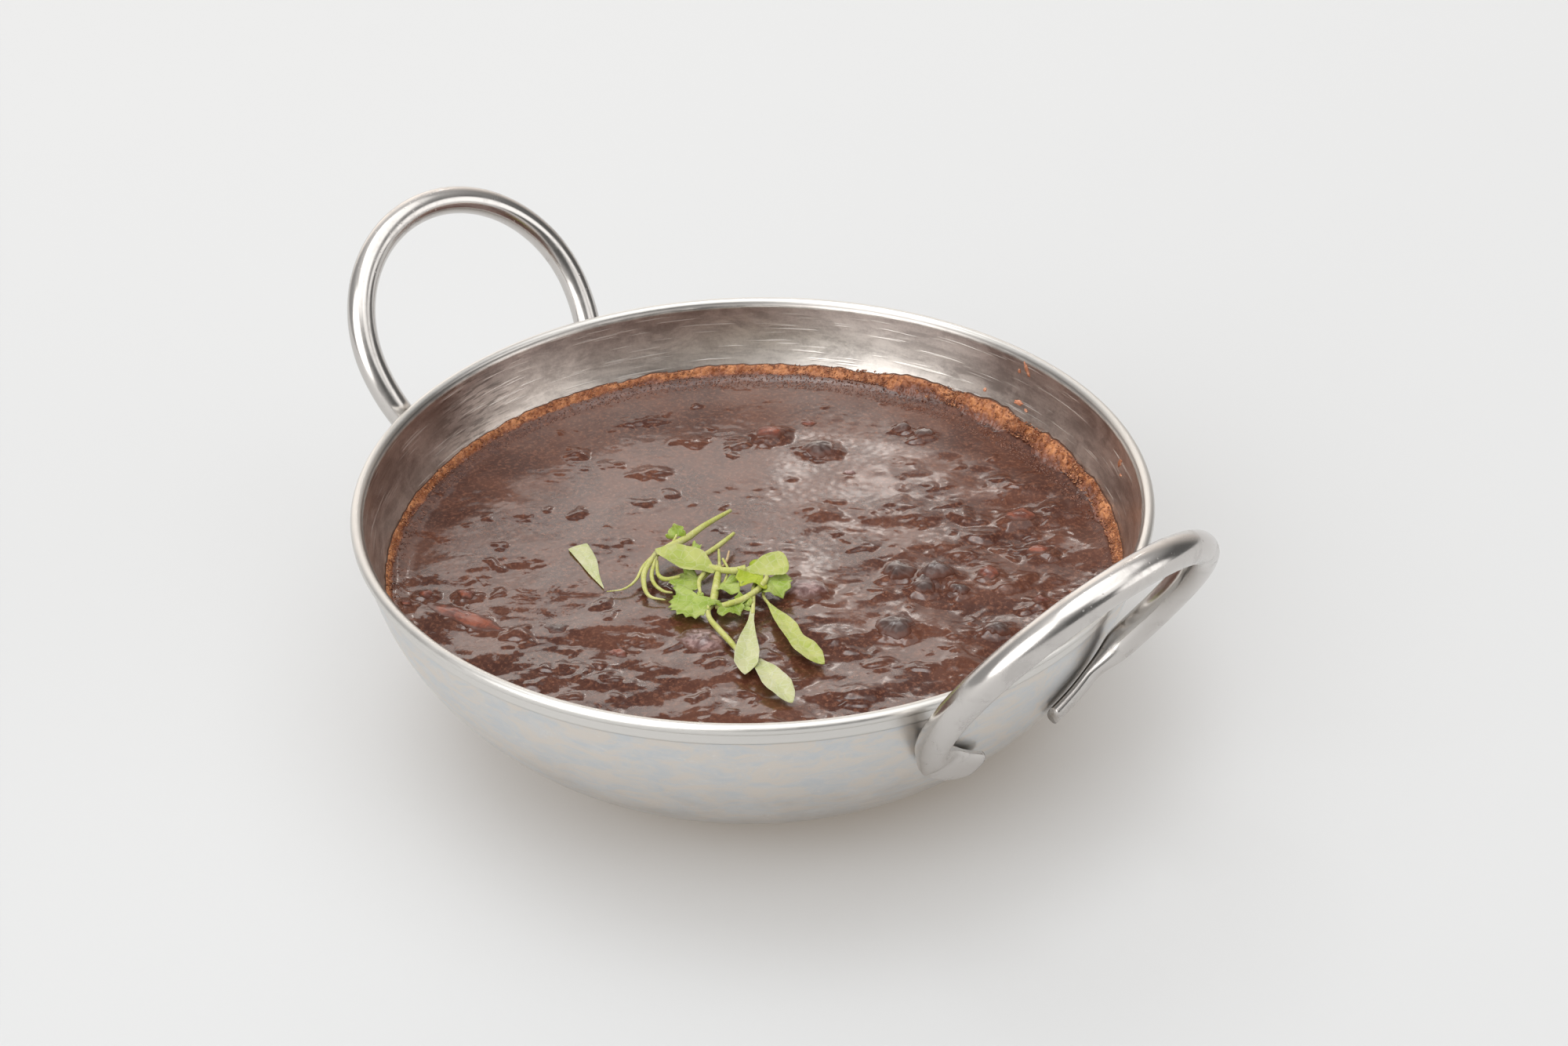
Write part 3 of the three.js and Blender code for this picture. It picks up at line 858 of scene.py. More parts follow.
def sauce():
    """Thick sauce, dark red-brown in slow patches with a fine grain and orange crumbs. Its glossy film
    mirrors the bright backdrop where it lies flat. The film's strength is a painted sheen, worked out
    for the camera's side: where the surface leans to the onlooker the film goes in ragged patches as
    painted shade and the dark sauce shows, though steep places keep half of it. Where it mirrors the
    right of the room or the wall of the dish the film is made thinner, also as painted shade."""
    finish = Finish("sauce", IOR=1.33, Specular_IOR_Level=0.2, Coat_IOR=2.0, Coat_Roughness=0.17)
    place = finish.coordinates()
    patches = finish.noise(place, 85, 4.0, 0.6, 0.3)
    grain = finish.noise(place, 1150, 4.0, 0.7)
    crumbs = finish.cells(place, 900)
    rare = finish.noise(place, 260, 2.0)
    dark = finish.shades(patches, 0.35, 0.68, (0.056, 0.016, 0.009), (0.105, 0.036, 0.020))
    grainy = finish.shades(grain, 0.45, 0.75, dark, (0.20, 0.080, 0.046))
    speck = finish.step(crumbs, 0.2, 0.1) * finish.step(rare, 0.5, 0.6)
    colour = finish.blend(speck * 0.4, grainy, (0.36, 0.15, 0.085))
    facing = finish.placed(place, (0, 0, -VIEW_TURN))
    torn = finish.noise(finish.placed(facing, (0, 0, 0), (120, 210, 210)), 1.0, 10.0, 0.8, 0.5)
    torn = (torn - 0.5) * (0.46 + 0.4 * finish.step(patches, 0.4, 0.62))
    lean = finish.attribute("lean") + torn
    aside = finish.attribute("aside")
    # Painted sheen and shade: the film's strength follows how the surface leans as seen from the camera; it
    # goes where the surface leans to the onlooker and is thinned where it mirrors the right of the room.
    painted_darkening = finish.step(lean, -0.01, 0.015) * (1 - 0.5 * finish.step(lean, 0.22, 0.4))
    painted_darkening = painted_darkening * (0.94 - 0.22 * finish.step(aside, 0.0, 0.1))
    beyond = finish.step(aside + torn * 0.3, 0.0, 0.2)
    # Painted shade: the film is thinned where the mirrored line of sight meets the dish's wall.
    shaded = finish.step(finish.attribute("over") + torn * 40.0, 1.2, -1.2)
    uneven = 0.92 + 0.16 * finish.noise(place, 800, 3.0, 0.6)
    film = (1 - painted_darkening) * (1 - beyond * 0.6) * (1 - shaded * 0.45) * uneven
    relief = grain * 0.5 + finish.noise(place, 420, 3.0, 0.6) * 0.7 + speck * 0.3
    bumpy = finish.bump(relief, 0.0001, 0.5)
    return finish.put(Base_Color=colour, Roughness=0.3 + 0.2 * grain, Coat_Weight=film, Normal=bumpy)


def dome(right, away, length, width, rise, turn, waver, seed):
    """A bean top or a bit of skin lying in the sauce: a disc with a wavering outline draped over the
    stew, raised by 1.3 * rise * (1 - r^2)^0.7 and closed underneath. Also given are how far in from
    the outline each corner lies, 1 - r^2, and how far towards the far side, from 0 to 1."""
    draw = np.random.default_rng(seed)
    ring = np.array([0.1, 0.25, 0.4, 0.54, 0.67, 0.78, 0.87, 0.94, 1.0])[:, None]
    round_ = np.linspace(0, 2 * math.pi, 44, endpoint=False)[None]
    outline = 1 + waver * sum(
        np.sin(k * round_ + draw.uniform(0, 6)) / math.sqrt(k - 1) for k in (2, 3, 5, 8)
    )
    a, b = ring * np.cos(round_) * outline * length, ring * np.sin(round_) * outline * width
    turn = math.radians(turn)
    u = right + a * math.cos(turn) - b * math.sin(turn)
    v = away + a * math.sin(turn) + b * math.cos(turn)
    points = seen(np.stack([u, v, 0 * u], -1))
    level = stew_top(points[..., 0], points[..., 1])
    wrinkle = 0.05 * waves(u, v, 1.6, 20, seed + 7) * (1 - ring**4)
    points[..., 2] = level + 1.3 * rise * (1 - ring**2) ** 0.7 + wrinkle + 0.05 - 0.2 * ring**10
    under = points.copy()
    under[..., 2] = level - 0.5
    inward = np.concatenate([1 - ring[:, 0] ** 2, np.zeros(len(ring) - 1)])
    inward = np.concatenate([np.repeat(inward, points.shape[1]), [1.0, 0.0]])
    beyond = np.clip(0.5 + 0.5 * (v - away) / width, 0, 1)
    beyond = np.append(np.concatenate([beyond, beyond[-2::-1]]).ravel(), [0.5, 0.5])
    return skin(np.concatenate([points, under[-2::-1]])), inward, beyond


def skin_finish(name, dark, light, scale, film):
    """Cooked skin under a glossy film: two colours in soft mottling, wrinkled a little. Towards its
    border the sauce lies over it in a ragged line. The film is a painted sheen: full at its top, as a
    painted highlight, and on its far side as seen from the camera, and thin elsewhere."""
    finish = Finish(name, IOR=1.35, Coat_IOR=1.9, Coat_Roughness=0.16)
    place = finish.coordinates()
    mottle = finish.noise(place, scale, 4.0, 0.6, 0.5)
    torn = finish.noise(place, 700, 5.0, 0.65)
    bare = finish.step(finish.attribute("inward") + (torn - 0.5) * 1.1, 0.2, 0.62)
    skin_colour = finish.shades(mottle, 0.36, 0.66, dark, light)
    colour = finish.blend(bare, (0.10, 0.034, 0.02), skin_colour)
    relief = mottle + finish.noise(place, 1300, 2.0) * 0.4
    far_side = finish.attribute("beyond")
    # Painted sheen and highlight: the film is full on the far side as seen from the camera and on the very
    # top.
    sheen = finish.step(far_side + (torn - 0.5) * 0.5 + (mottle - 0.5) * 0.7, 0.3, 0.68)
    painted_highlight = finish.step(finish.attribute("inward") + (torn - 0.5) * 0.3, 0.72, 0.98)
    painted_sheen = film * (0.1 + 0.9 * (1 - (1 - sheen) * (1 - painted_highlight)))
    bumpy = finish.bump(relief, 0.00015, 0.5)
    return finish.put(Base_Color=colour, Roughness=0.25 + 0.2 * mottle, Coat_Weight=painted_sheen, Normal=bumpy)


# ---- The crust where the stew has dried and foamed against the wall ----

# Round the dish from the right, over the far side: how far the crust climbs and reaches inwards,
# and how far the bubbles go beyond it.
CRUST_TURNS = (0, 15, 30, 45, 60, 72, 85, 110, 140, 180, 220, 300, 340, 360)
CRUST_CLIMB = (2.2, 2.5, 2.9, 3.2, 2.6, 2.1, 1.7, 1.7, 1.7, 1.5, 1.3, 1.1, 1.6, 2.2)
CRUST_REACH = (1.8, 2.3, 2.6, 2.4, 1.8, 1.4, 1.1, 1.0, 1.0, 0.8, 0.6, 0.5, 1.1, 1.8)
BUBBLE_REACH = (1.0, 2.0, 3.0, 4.0, 4.6, 4.2, 3.4, 2.8, 2.2, 1.4, 1.0, 0.6, 0.8, 1.0)


def foaminess(reach):
    """How thick the foam stands where the crust reaches so far inwards, up to 1."""
    return np.clip(reach / max(CRUST_REACH), 0.2, 1)


def crust_height(t, climb):
    """The height of the crust on the wall, from its top at t = 0 down to its inner edge at t = 1."""
    return STEW_LEVEL + EDGE_CLIMB + climb * (1 - t) ** 2 - 0.5 * t


def crust_shape():
    """A ring whose section runs from the top of the climb on the wall down to its inner edge on the
    stew and back underneath. Its outline wanders, and it is pebbled by short waves. Also given is
    how far inwards each corner lies, from 0 at the wall to 1 at the inner edge."""
    around, across = 1600, 30
    turn = np.linspace(0, 2 * math.pi, around, endpoint=False)
    as_degrees = np.degrees(turn)
    arc_length = turn * UNROLLED_RADIUS
    wander = 0.12 * waves(arc_length, 0 * turn, 14, 30, 21) + 0.07 * waves(arc_length, 0 * turn, 3, 30, 22)
    climb = np.interp(as_degrees, CRUST_TURNS, CRUST_CLIMB) * (1 + 0.8 * wander)
    reach = np.interp(as_degrees, CRUST_TURNS, CRUST_REACH) * (1 + 2.2 * wander)
    foamy = foaminess(reach)
    t = np.linspace(0, 1, across)[:, None]
    azimuth = turn + VIEW_TURN
    height = crust_height(t, climb)
    body = smoothstep(0, 0.15, t) * smoothstep(1, 0.7, t)
    arc = arc_length[None] + 0 * t
    down = t * (climb + reach)[None]
    pebbles = 0.16 * waves(arc, down, 1.7, 60, 23) + 0.12 * waves(arc, down, 0.8, 60, 24)
    pebbles = pebbles * body * foamy
    radius = inner_radius(height) - 0.03 - (0.15 + 0.4 * foamy) * body - reach * t**1.5
    x, y = radius * np.cos(azimuth), radius * np.sin(azimuth)
    blend = smoothstep(0.3, 0.9, t)
    height = height * (1 - blend) + (stew_top(x, y) + 0.2 * foamy * body - 0.16 * t) * blend
    height = height + pebbles + 0.2 * body * foamy
    radius = radius - 0.6 * pebbles * (1 - blend)
    under_t = np.linspace(1, 0, 5)[:, None]
    under_height = STEW_LEVEL - 0.9 + 0 * turn[None] * under_t
    under_radius = inner_radius(under_height) - 0.05 - reach * under_t**1.5
    radius = np.vstack([radius, under_radius])
    height = np.vstack([height, under_height])
    radius = np.minimum(radius, inner_radius(height) - 0.02)
    inward = np.vstack([t, under_t]) + 0 * turn[None]
    quads = grid_quads(*radius.shape, round_rows=True)
    return Shape(round_z(radius, azimuth, height), quads).facing_out(), inward.ravel()


def scattered(count, sizes, start, end, reaches, seed):
    """Bubbles of a few dozen faces strewn round the dish. Each lies between start and end times the
    local reach in from the wall, more of them where that reach is long."""
    draw = np.random.default_rng(seed)
    weights = np.interp(np.arange(360), CRUST_TURNS, np.array(reaches) ** 1.4)
    degrees = draw.choice(360, count, p=weights / weights.sum()) + draw.uniform(0, 1, count)
    azimuth = np.radians(degrees) + VIEW_TURN
    crust = np.interp(degrees, CRUST_TURNS, CRUST_REACH)
    climb = np.interp(degrees, CRUST_TURNS, CRUST_CLIMB)
    t = start + (end - start) * draw.uniform(0, 1, count)
    beyond = np.maximum(t - 1, 0) * np.interp(degrees, CRUST_TURNS, BUBBLE_REACH)
    t = np.minimum(t, 1)
    size = draw.uniform(*sizes, count)
    wall_height = crust_height(t, climb)
    foamy = foaminess(crust)
    radius = inner_radius(wall_height) - 0.05 - (0.15 + 0.4 * foamy) - crust * t**1.5 - beyond
    x, y = radius * np.cos(azimuth), radius * np.sin(azimuth)
    blend = smoothstep(0.35, 0.9, t)
    lift = 0.2 * foamy * (t < 1)
    height = wall_height * (1 - blend) + (stew_top(x, y) + lift) * blend + lift
    polar = np.linspace(0, math.pi, 5)[1:-1, None]
    round_ = np.linspace(0, 2 * math.pi, 6, endpoint=False)[None]
    single = skin(round_z(np.sin(polar), round_, np.cos(polar)))
    squash = draw.uniform(0.75, 1.15, (count, 1, 3)) * (1, 1, 0.8)
    corners = single.corners[None] * squash * size[:, None, None]
    corners = corners + np.stack([x, y, height], -1)[:, None]
    limit = inner_radius(corners[..., 2]) - 0.02
    distance = np.hypot(corners[..., 0], corners[..., 1])
    corners[..., :2] *= np.minimum(1, limit / distance)[..., None]
    starts = (np.arange(count) * len(single.corners))[:, None, None]
    return Shape(corners, single.quads[None] + starts, (single.triangles[None] + starts).reshape(-1, 3))


def crust_finish():
    """Dried foam under a thin film: a dark line at its top on the wall, which is a painted shadow line
    under the crust's ridge, then orange-brown in patches, and wet red-brown towards the stew in a
    ragged gradient."""
    finish = Finish("crust_brown", IOR=1.4, Coat_IOR=1.8, Coat_Roughness=0.14)
    place = finish.coordinates()
    grain = finish.noise(place, 950, 4.0, 0.65)
    patches = finish.noise(place, 150, 5.0, 0.65)
    spots = finish.noise(place, 330, 4.0, 0.6)
    inward = finish.attribute("inward")
    slow = finish.noise(place, 50, 2.0)
    ragged = inward + (patches - 0.5) * 1.1 + (grain - 0.5) * 0.4 + (slow - 0.5) * 1.3
    foamy = spots * 0.6 + grain * 0.4
    orange = finish.shades(foamy, 0.38, 0.62, (0.24, 0.07, 0.023), (0.59, 0.25, 0.105))
    speckled = spots * 0.5 + grain * 0.5
    brown = finish.shades(speckled, 0.40, 0.64, (0.115, 0.036, 0.019), (0.27, 0.095, 0.05))
    wet_brown = finish.shades(ragged, 0.75, 1.0, brown, (0.08, 0.028, 0.017))
    body = finish.shades(ragged, 0.3, 0.62, orange, wet_brown)
    # Painted shadow: a dark line along the crust's top edge on the wall.
    colour = finish.shades(inward, 0.07, 0.03, body, (0.09, 0.035, 0.018))
    film = 0.02 + 0.35 * finish.step(ragged, 0.45, 0.8)
    bumpy = finish.bump(grain, 0.0003, 0.7)
    return finish.put(Base_Color=colour, Roughness=0.3 + 0.25 * grain, Coat_Weight=film, Normal=bumpy)


def foam_finish(name, dark, pale):
    """Grains of dried foam, each a little different, with paler crumbs."""
    finish = Finish(name, IOR=1.4)
    place = finish.coordinates()
    grain = finish.noise(place, 900, 3.0, 0.65)
    patches = finish.noise(place, 150, 4.0, 0.65)
    brown = finish.shades(patches, 0.36, 0.66, dark, (0.30, 0.11, 0.05))
    colour = finish.shades(grain, 0.46, 0.74, brown, pale)
    bumpy = finish.bump(grain, 0.0002, 0.6)
    return finish.put(Base_Color=colour, Roughness=0.25 + 0.25 * grain, Normal=bumpy)


# Specks splashed on the wall, at about this radius: (turn in degrees from the right, height, half
# width, half height, lean).
SPECK_RADIUS = 76.0
SPECKS = (
    (39.0, 47.0, 0.5, 1.7, -0.5),
    (40.6, 45.8, 0.35, 0.6, 0.0),
    (39.6, 38.8, 1.5, 0.5, 0.25),
    (37.6, 38.0, 0.5, 0.35, 0.0),
    (10.0, 44.4, 0.85, 0.9, 0.2),
    (8.6, 42.6, 0.4, 0.3, 0.0),
    (47.0, 38.2, 0.5, 0.4, 0.1),
)


def speck(turn, height, half_width, half_height, lean, seed):
    """A dried splash on the inside of the wall: a small low cushion with a wavering outline."""
    draw = np.random.default_rng(seed)
    ring = np.array([0.15, 0.4, 0.65, 0.85, 1.0])[:, None]
    round_ = np.linspace(0, 2 * math.pi, 24, endpoint=False)[None]
    outline = 1 + 0.22 * np.sin(2 * round_ + draw.uniform(0, 6))
    outline = outline + 0.16 * np.sin(5 * round_ + draw.uniform(0, 6))
    up = ring * outline * np.sin(round_) * half_height
    across = ring * outline * np.cos(round_) * half_width + lean * up
    azimuth = math.radians(turn) + VIEW_TURN - across / SPECK_RADIUS
    z = height + up
    thick = 0.3 * np.sqrt(np.maximum(1 - ring**2, 0))
    front = round_z(inner_radius(z) - 0.04 - thick, azimuth, z)
    back = round_z(inner_radius(z) - 0.01, azimuth, z)
    return skin(np.concatenate([front, back[-2::-1]]))


def bubble_skin():
    """Small wet bubbles: sauce-brown under a sharp film, some of them paler."""
    finish = Finish("bubble_skin", IOR=1.33, Coat_IOR=1.8, Coat_Roughness=0.12, Coat_Weight=0.45)
    place = finish.coordinates()
    grain = finish.noise(place, 900, 3.0, 0.6)
    colour = finish.shades(grain, 0.4, 0.66, (0.09, 0.032, 0.02), (0.24, 0.10, 0.06))
    return finish.put(Base_Color=colour, Roughness=0.3 + 0.2 * grain)


# ---- The garnish ----


def leaf_finish(name, light, deep, vein, scale):
    """Fresh leaf: two greens in soft patches, paler fine veins, a little light passing through."""
    finish = Finish(name, IOR=1.4, Subsurface_Weight=0.25, Subsurface_Scale=0.001)
    finish.put(Subsurface_Radius=(1.0, 1.2, 0.3))
    place = finish.coordinates()
    patches = finish.noise(place, scale, 3.0, 0.55, 0.4)
    veins = finish.cells(place, 620, "DISTANCE_TO_EDGE")
    green = finish.shades(patches, 0.36, 0.66, light, deep)
    colour = finish.blend(finish.step(veins, 0.09, 0.0) * 0.35, green, vein)
    relief = patches * 0.5 + finish.step(veins, 0.0, 0.1) * 0.6
    bumpy = finish.bump(relief, 0.0001, 0.5)
    return finish.put(Base_Color=colour, Roughness=0.42 + 0.16 * patches, Normal=bumpy)


# Stalks: their radii, then their points as (right, away, height). One is pink.
STALKS = (
    ((0.4, 0.62, 0.76, 0.8, 0.6), (-5.0, 11.5, 35.2), (-10.2, 5.1, 35.8), (-13.6, 0.5, 35.9),
     (-17.1, -2.3, 35.6), (-20.3, -4.6, 35.0)),
    ((0.45, 0.4, 0.3, 0.2, 0.08), (-19.6, -3.8, 35.2), (-22.3, -7.5, 34.4), (-23.7, -11.2, 33.6),
     (-26.0, -13.7, 33.2), (-29.5, -14.0, 32.8)),
    ((0.55, 0.6, 0.5, 0.35, 0.15), (-19.9, -4.0, 35.2), (-22.0, -9.4, 34.4), (-21.9, -13.8, 33.7),
     (-20.6, -16.7, 33.3), (-17.6, -17.6, 33.1)),
    ((0.4, 0.42, 0.4, 0.32, 0.2), (-19.8, -5.2, 34.9), (-20.6, -10.0, 34.2), (-19.9, -12.9, 33.7),
     (-18.1, -14.8, 33.3), (-16.2, -15.3, 33.2)),
    ((0.3, 0.42, 0.5, 0.35), (-19.6, -6.3, 34.8), (-19.3, -10.1, 34.2), (-17.7, -11.7, 34.0),
     (-14.8, -11.3, 34.4)),
    ((0.35, 0.5, 0.55, 0.5), (-4.2, 3.5, 34.8), (-6.1, 0.3, 35.0), (-8.6, -3.3, 35.2), (-10.8, -5.6, 35.2)),
    ((0.3, 0.45, 0.5), (-10.6, -18.3, 35.0), (-10.9, -14.5, 35.3), (-9.7, -11.0, 35.5)),
    ((0.6, 0.65, 0.75, 0.8), (-11.6, -8.0, 35.6), (-7.0, -11.2, 35.9), (-4.0, -12.2, 36.2),
     (-1.6, -12.2, 36.7)),
    ((0.5, 0.6, 0.65, 0.6, 0.55, 0.4), (-7.5, -21.5, 34.0), (-4.9, -21.9, 35.0), (-1.9, -21.0, 35.6),
     (0.6, -18.8, 36.0), (2.2, -15.9, 36.1), (2.7, -13.5, 36.0)),
    ((0.5, 0.7, 0.85, 0.8, 0.55, 0.55, 0.6, 0.6, 0.4), (-6.9, -9.3, 35.4), (-7.2, -11.8, 35.2),
     (-7.6, -16.1, 34.6), (-8.1, -20.4, 34.4), (-9.0, -22.8, 34.2), (-8.5, -25.5, 33.9),
     (-6.6, -28.9, 33.7), (-4.3, -32.8, 33.5), (-2.8, -35.8, 33.4)),
    ((0.2, 0.3, 0.25), (-5.1, -3.7, 35.2), (-5.5, -6.5, 35.0), (-6.3, -8.7, 34.8)),
    ((0.25, 0.35, 0.3), (-7.2, -3.1, 35.2), (-7.0, -8.2, 35.0), (-7.0, -11.0, 34.8)),
    ((0.25, 0.3, 0.25), (-6.2, -15.0, 34.4), (-5.2, -11.0, 35.4), (-6.3, -7.0, 35.6)),
    ((0.3, 0.25, 0.2), (-16.6, -1.2, 35.8), (-15.9, 0.6, 36.3), (-15.7, 1.4, 36.4)),
    ((0.4, 0.45, 0.4, 0.4), (0.2, -16.0, 35.6), (-0.1, -18.0, 35.6), (-0.1, -21.7, 35.1),
     (-0.2, -24.9, 34.6)),
    ((0.3, 0.35, 0.3), (2.2, -15.4, 35.2), (1.9, -18.5, 34.4), (3.4, -21.6, 33.9)),
    ((0.3, 0.35, 0.3), (-10.4, -12.2, 34.2), (-8.6, -10.4, 35.0), (-7.4, -9.0, 35.3)),
)
PINK_STALK = 10

# Blades: points, widths, then fold, curl, ripple, lean and thickness.
FOLDED_LEAVES = (
    (
        ((-7.8, -11.6, 35.5), (-10.2, -10.4, 36.0), (-13.4, -8.7, 36.3), (-17.0, -6.9, 36.7),
         (-20.0, -5.3, 37.0)),
        (0.7, 1.6, 2.7, 3.0, 2.6, 1.5, 0.5),
        (0.42, 0.1, 0.25, 0.25),
    ),
    (
        ((-3.6, -12.4, 36.2), (-0.6, -12.5, 36.4), (2.6, -11.9, 36.8), (7.0, -11.3, 37.0)),
        (0.65, 0.65, 0.8, 1.1, 1.8, 2.4, 2.8, 3.0, 3.0),
        (0.2, 0.1, 0.1, -0.35),
    ),
)
LOOSE_LEAF = (
    ((-30.2, -12.2, 0), (-32.4, -7.0, 0), (-34.0, -2.2, 0), (-36.2, 2.4, 0), (-36.7, 3.4, 0)),
    (0.1, 0.5, 1.0, 1.45, 1.8, 2.05, 2.15, 2.1, 1.9),
    (0.06, 0.0, 0.06, 0.0, 0.3),
)
HANGING_LEAF = (
    ((-0.2, -23.5, 34.8), (-0.7, -28.6, 34.3), (-1.1, -33.7, 34.3), (-1.3, -38.9, 34.1), (-1.6, -43.0, 33.6)),
    (0.4, 0.6, 1.2, 1.9, 2.4, 2.3, 0.9),
    (0.25, 0.1, 0.12),
)
FRONT_LEAF = (
    ((0.6, -38.2, 33.4), (2.8, -43.1, 33.8), (4.9, -47.2, 33.7), (7.2, -51.4, 33.2)),
    (0.9, 1.6, 2.2, 2.6, 2.5, 1.9, 0.8),
    (0.22, 0.1, 0.15),
)
RIGHT_LEAF = (
    ((2.8, -20.4, 34.0), (5.9, -26.8, 33.8), (8.1, -32.0, 33.8), (10.6, -36.4, 33.6), (13.4, -39.6, 33.2)),
    (0.3, 1.3, 1.9, 1.7, 2.2, 2.1, 0.8),
    (0.22, 0.1, 0.22),
)

# True leaves: the end of the stalk, the way the leaf points, its upper side, its size, the teeth to
# a lobe, how far the fan opens, the depth of its bowl, the height of its wave and its seed.
TRUE_LEAVES = (
    ((-10.7, -18.3, 34.9), (-0.55, -0.8, -0.18), (0, 0, 1), 6.6, 5, 1.1, 0.1, 0.1, 2),
    ((-11.0, -11.9, 34.4), (-0.8, -0.25, -0.1), (0, 0, 1), 5.6, 2, 1.0, 0.1, 0.12, 3),
    ((2.6, -14.4, 35.6), (0.55, -0.7, -0.2), (0, 0, 1), 5.4, 3, 1.0, 0.1, 0.2, 5),
    ((-4.6, -21.2, 34.6), (0.1, -0.8, -0.2), (0, 0, 1), 3.7, 3, 1.2, 0.25, 0.3, 6),
    ((-2.8, -22.2, 34.4), (0.3, 0.5, 0.2), (0, 0.3, 1), 2.8, 3, 1.2, 0.3, 0.3, 7),
    ((-6.2, -14.6, 34.8), (0.6, -0.6, 0.0), (0, 0, 1), 4.2, 3, 1.1, 0.2, 0.2, 8),
    ((-15.7, 0.6, 36.2), (-0.1, 0.6, 0.5), (0, -0.5, 1), 2.4, 2, 1.2, 0.3, 0.3, 9),
    ((-12.6, -2.8, 35.3), (0.8, -0.1, 0.1), (0, 0, 1), 2.0, 2, 1.2, 0.2, 0.3, 10),
)
YOUNG_LEAF = ((1.6, -14.2, 36.2), (-1.0, -0.25, 0.05), (0, 0, 1), 5.2, 3, 1.1, 0.12, 0.2, 4)

# Greens: light, deep and vein colours, and the scale of the patches.
GREENS = {
    "stalk_green": ((0.54, 0.53, 0.20), (0.42, 0.44, 0.10), (0.64, 0.63, 0.36), 180.0),
    "stalk_pink": ((0.55, 0.34, 0.22), (0.49, 0.40, 0.20), (0.6, 0.48, 0.32), 260.0),
    "seed_leaf_pale": ((0.54, 0.54, 0.31), (0.45, 0.48, 0.22), (0.63, 0.64, 0.49), 240.0),
    "true_leaf_green": ((0.37, 0.45, 0.11), (0.24, 0.34, 0.04), (0.47, 0.52, 0.25), 320.0),
    "true_leaf_bright": ((0.37, 0.44, 0.03), (0.27, 0.36, 0.015), (0.45, 0.50, 0.1), 320.0),
    "seed_leaf_green": ((0.45, 0.47, 0.15), (0.33, 0.39, 0.075), (0.55, 0.55, 0.34), 240.0),
}


def seed_leaf(points, widths, form):
    """A seed leaf's blade, placed as seen. Where its heights are 0 it lies on the stew."""
    path = seen(points)
    lying = path[:, 2] == 0
    path[lying, 2] = stew_top(path[lying, 0], path[lying, 1]) + 0.3
    return blade(path, widths, *form)


def true_leaf(place, ahead, *form):
    """A toothed leaf, placed and pointed as seen."""
    return toothed_leaf(seen(place), seen(ahead), *form)


def make_garnish():
    """The seedlings: stalks, broad and narrow seed leaves, and toothed true leaves."""
    greens = {name: leaf_finish(name, *colours) for name, colours in GREENS.items()}
    stalks = [stalk(seen(points), radii) for radii, *points in STALKS]
    pink = stalks.pop(PINK_STALK)
    piece("stalks", joined(stalks), greens["stalk_green"], ["sprig_heap"])
    piece("pink_stalks", pink, greens["stalk_pink"])
    broad = joined([seed_leaf(*leaf) for leaf in FOLDED_LEAVES])
    piece("broad_seed_leaves", broad, greens["seed_leaf_green"])
    toothed = joined([true_leaf(*leaf) for leaf in TRUE_LEAVES])
    piece("true_leaves", toothed, greens["true_leaf_green"])
    piece("young_true_leaf", true_leaf(*YOUNG_LEAF), greens["true_leaf_bright"])
    for name, leaf, green, node in (
        ("loose_seed_leaf", LOOSE_LEAF, "seed_leaf_pale", "seed_leaf_loose"),
        ("hanging_seed_leaf", HANGING_LEAF, "seed_leaf_pale", "seed_leaf_hanging"),
        ("front_seed_leaf", FRONT_LEAF, "seed_leaf_pale", "seed_leaf_front"),
        ("right_seed_leaf", RIGHT_LEAF, "seed_leaf_green", "seed_leaf_right"),
    ):
        piece(name, seed_leaf(*leaf), greens[green], [node])


# ---- Room, light and camera ----


def make_floor():
    """A wide pale floor just under the foot, glowing faintly and warmly as if lit from the sides, so
    that the dish's shadow is soft."""
    mesh = bpy.data.meshes.new("floor")
    reach, level = 20.0, -0.0001
    corners = [(reach * x, reach * y, level) for x, y in ((-1, -1), (1, -1), (1, 1), (-1, 1))]
    mesh.from_pydata(corners, [], [(0, 1, 2, 3)])
    finish = Finish("floor_white", Roughness=0.6, Specular_IOR_Level=0.2)
    finish.put(Emission_Color=(1.0, 0.76, 0.52), Emission_Strength=0.14)
    cloud = finish.noise(finish.coordinates(), 3.0, 2.0)
    colour = finish.blend(cloud, (0.495, 0.525, 0.555), (0.51, 0.54, 0.57))
    mesh.materials.append(finish.put(Base_Color=colour))
    floor = bpy.data.objects.new("floor", mesh)
    bpy.context.scene.collection.objects.link(floor)


# Soft patches of light: the way to their middle (right, away, up), the cosines where they fade out
# and where they are full, and their strength.
LIGHT_PATCHES = (
    ((0.0895, -0.1066, 0.990), 0.788, 0.883, 1.25),
    ((-0.224, 0.129, 0.966), 0.962, 0.985, 2.0),
    ((-0.602, -0.646, 0.469), 0.86, 0.93, 2.6),
    ((0.587, -0.492, 0.643), 0.95, 0.99, 1.1),
    ((0.062, 0.846, 0.5296), 0.9993, 0.99995, 10.0),
    ((0.935, -0.286, 0.208), 0.925, 0.975, 1.6),
)


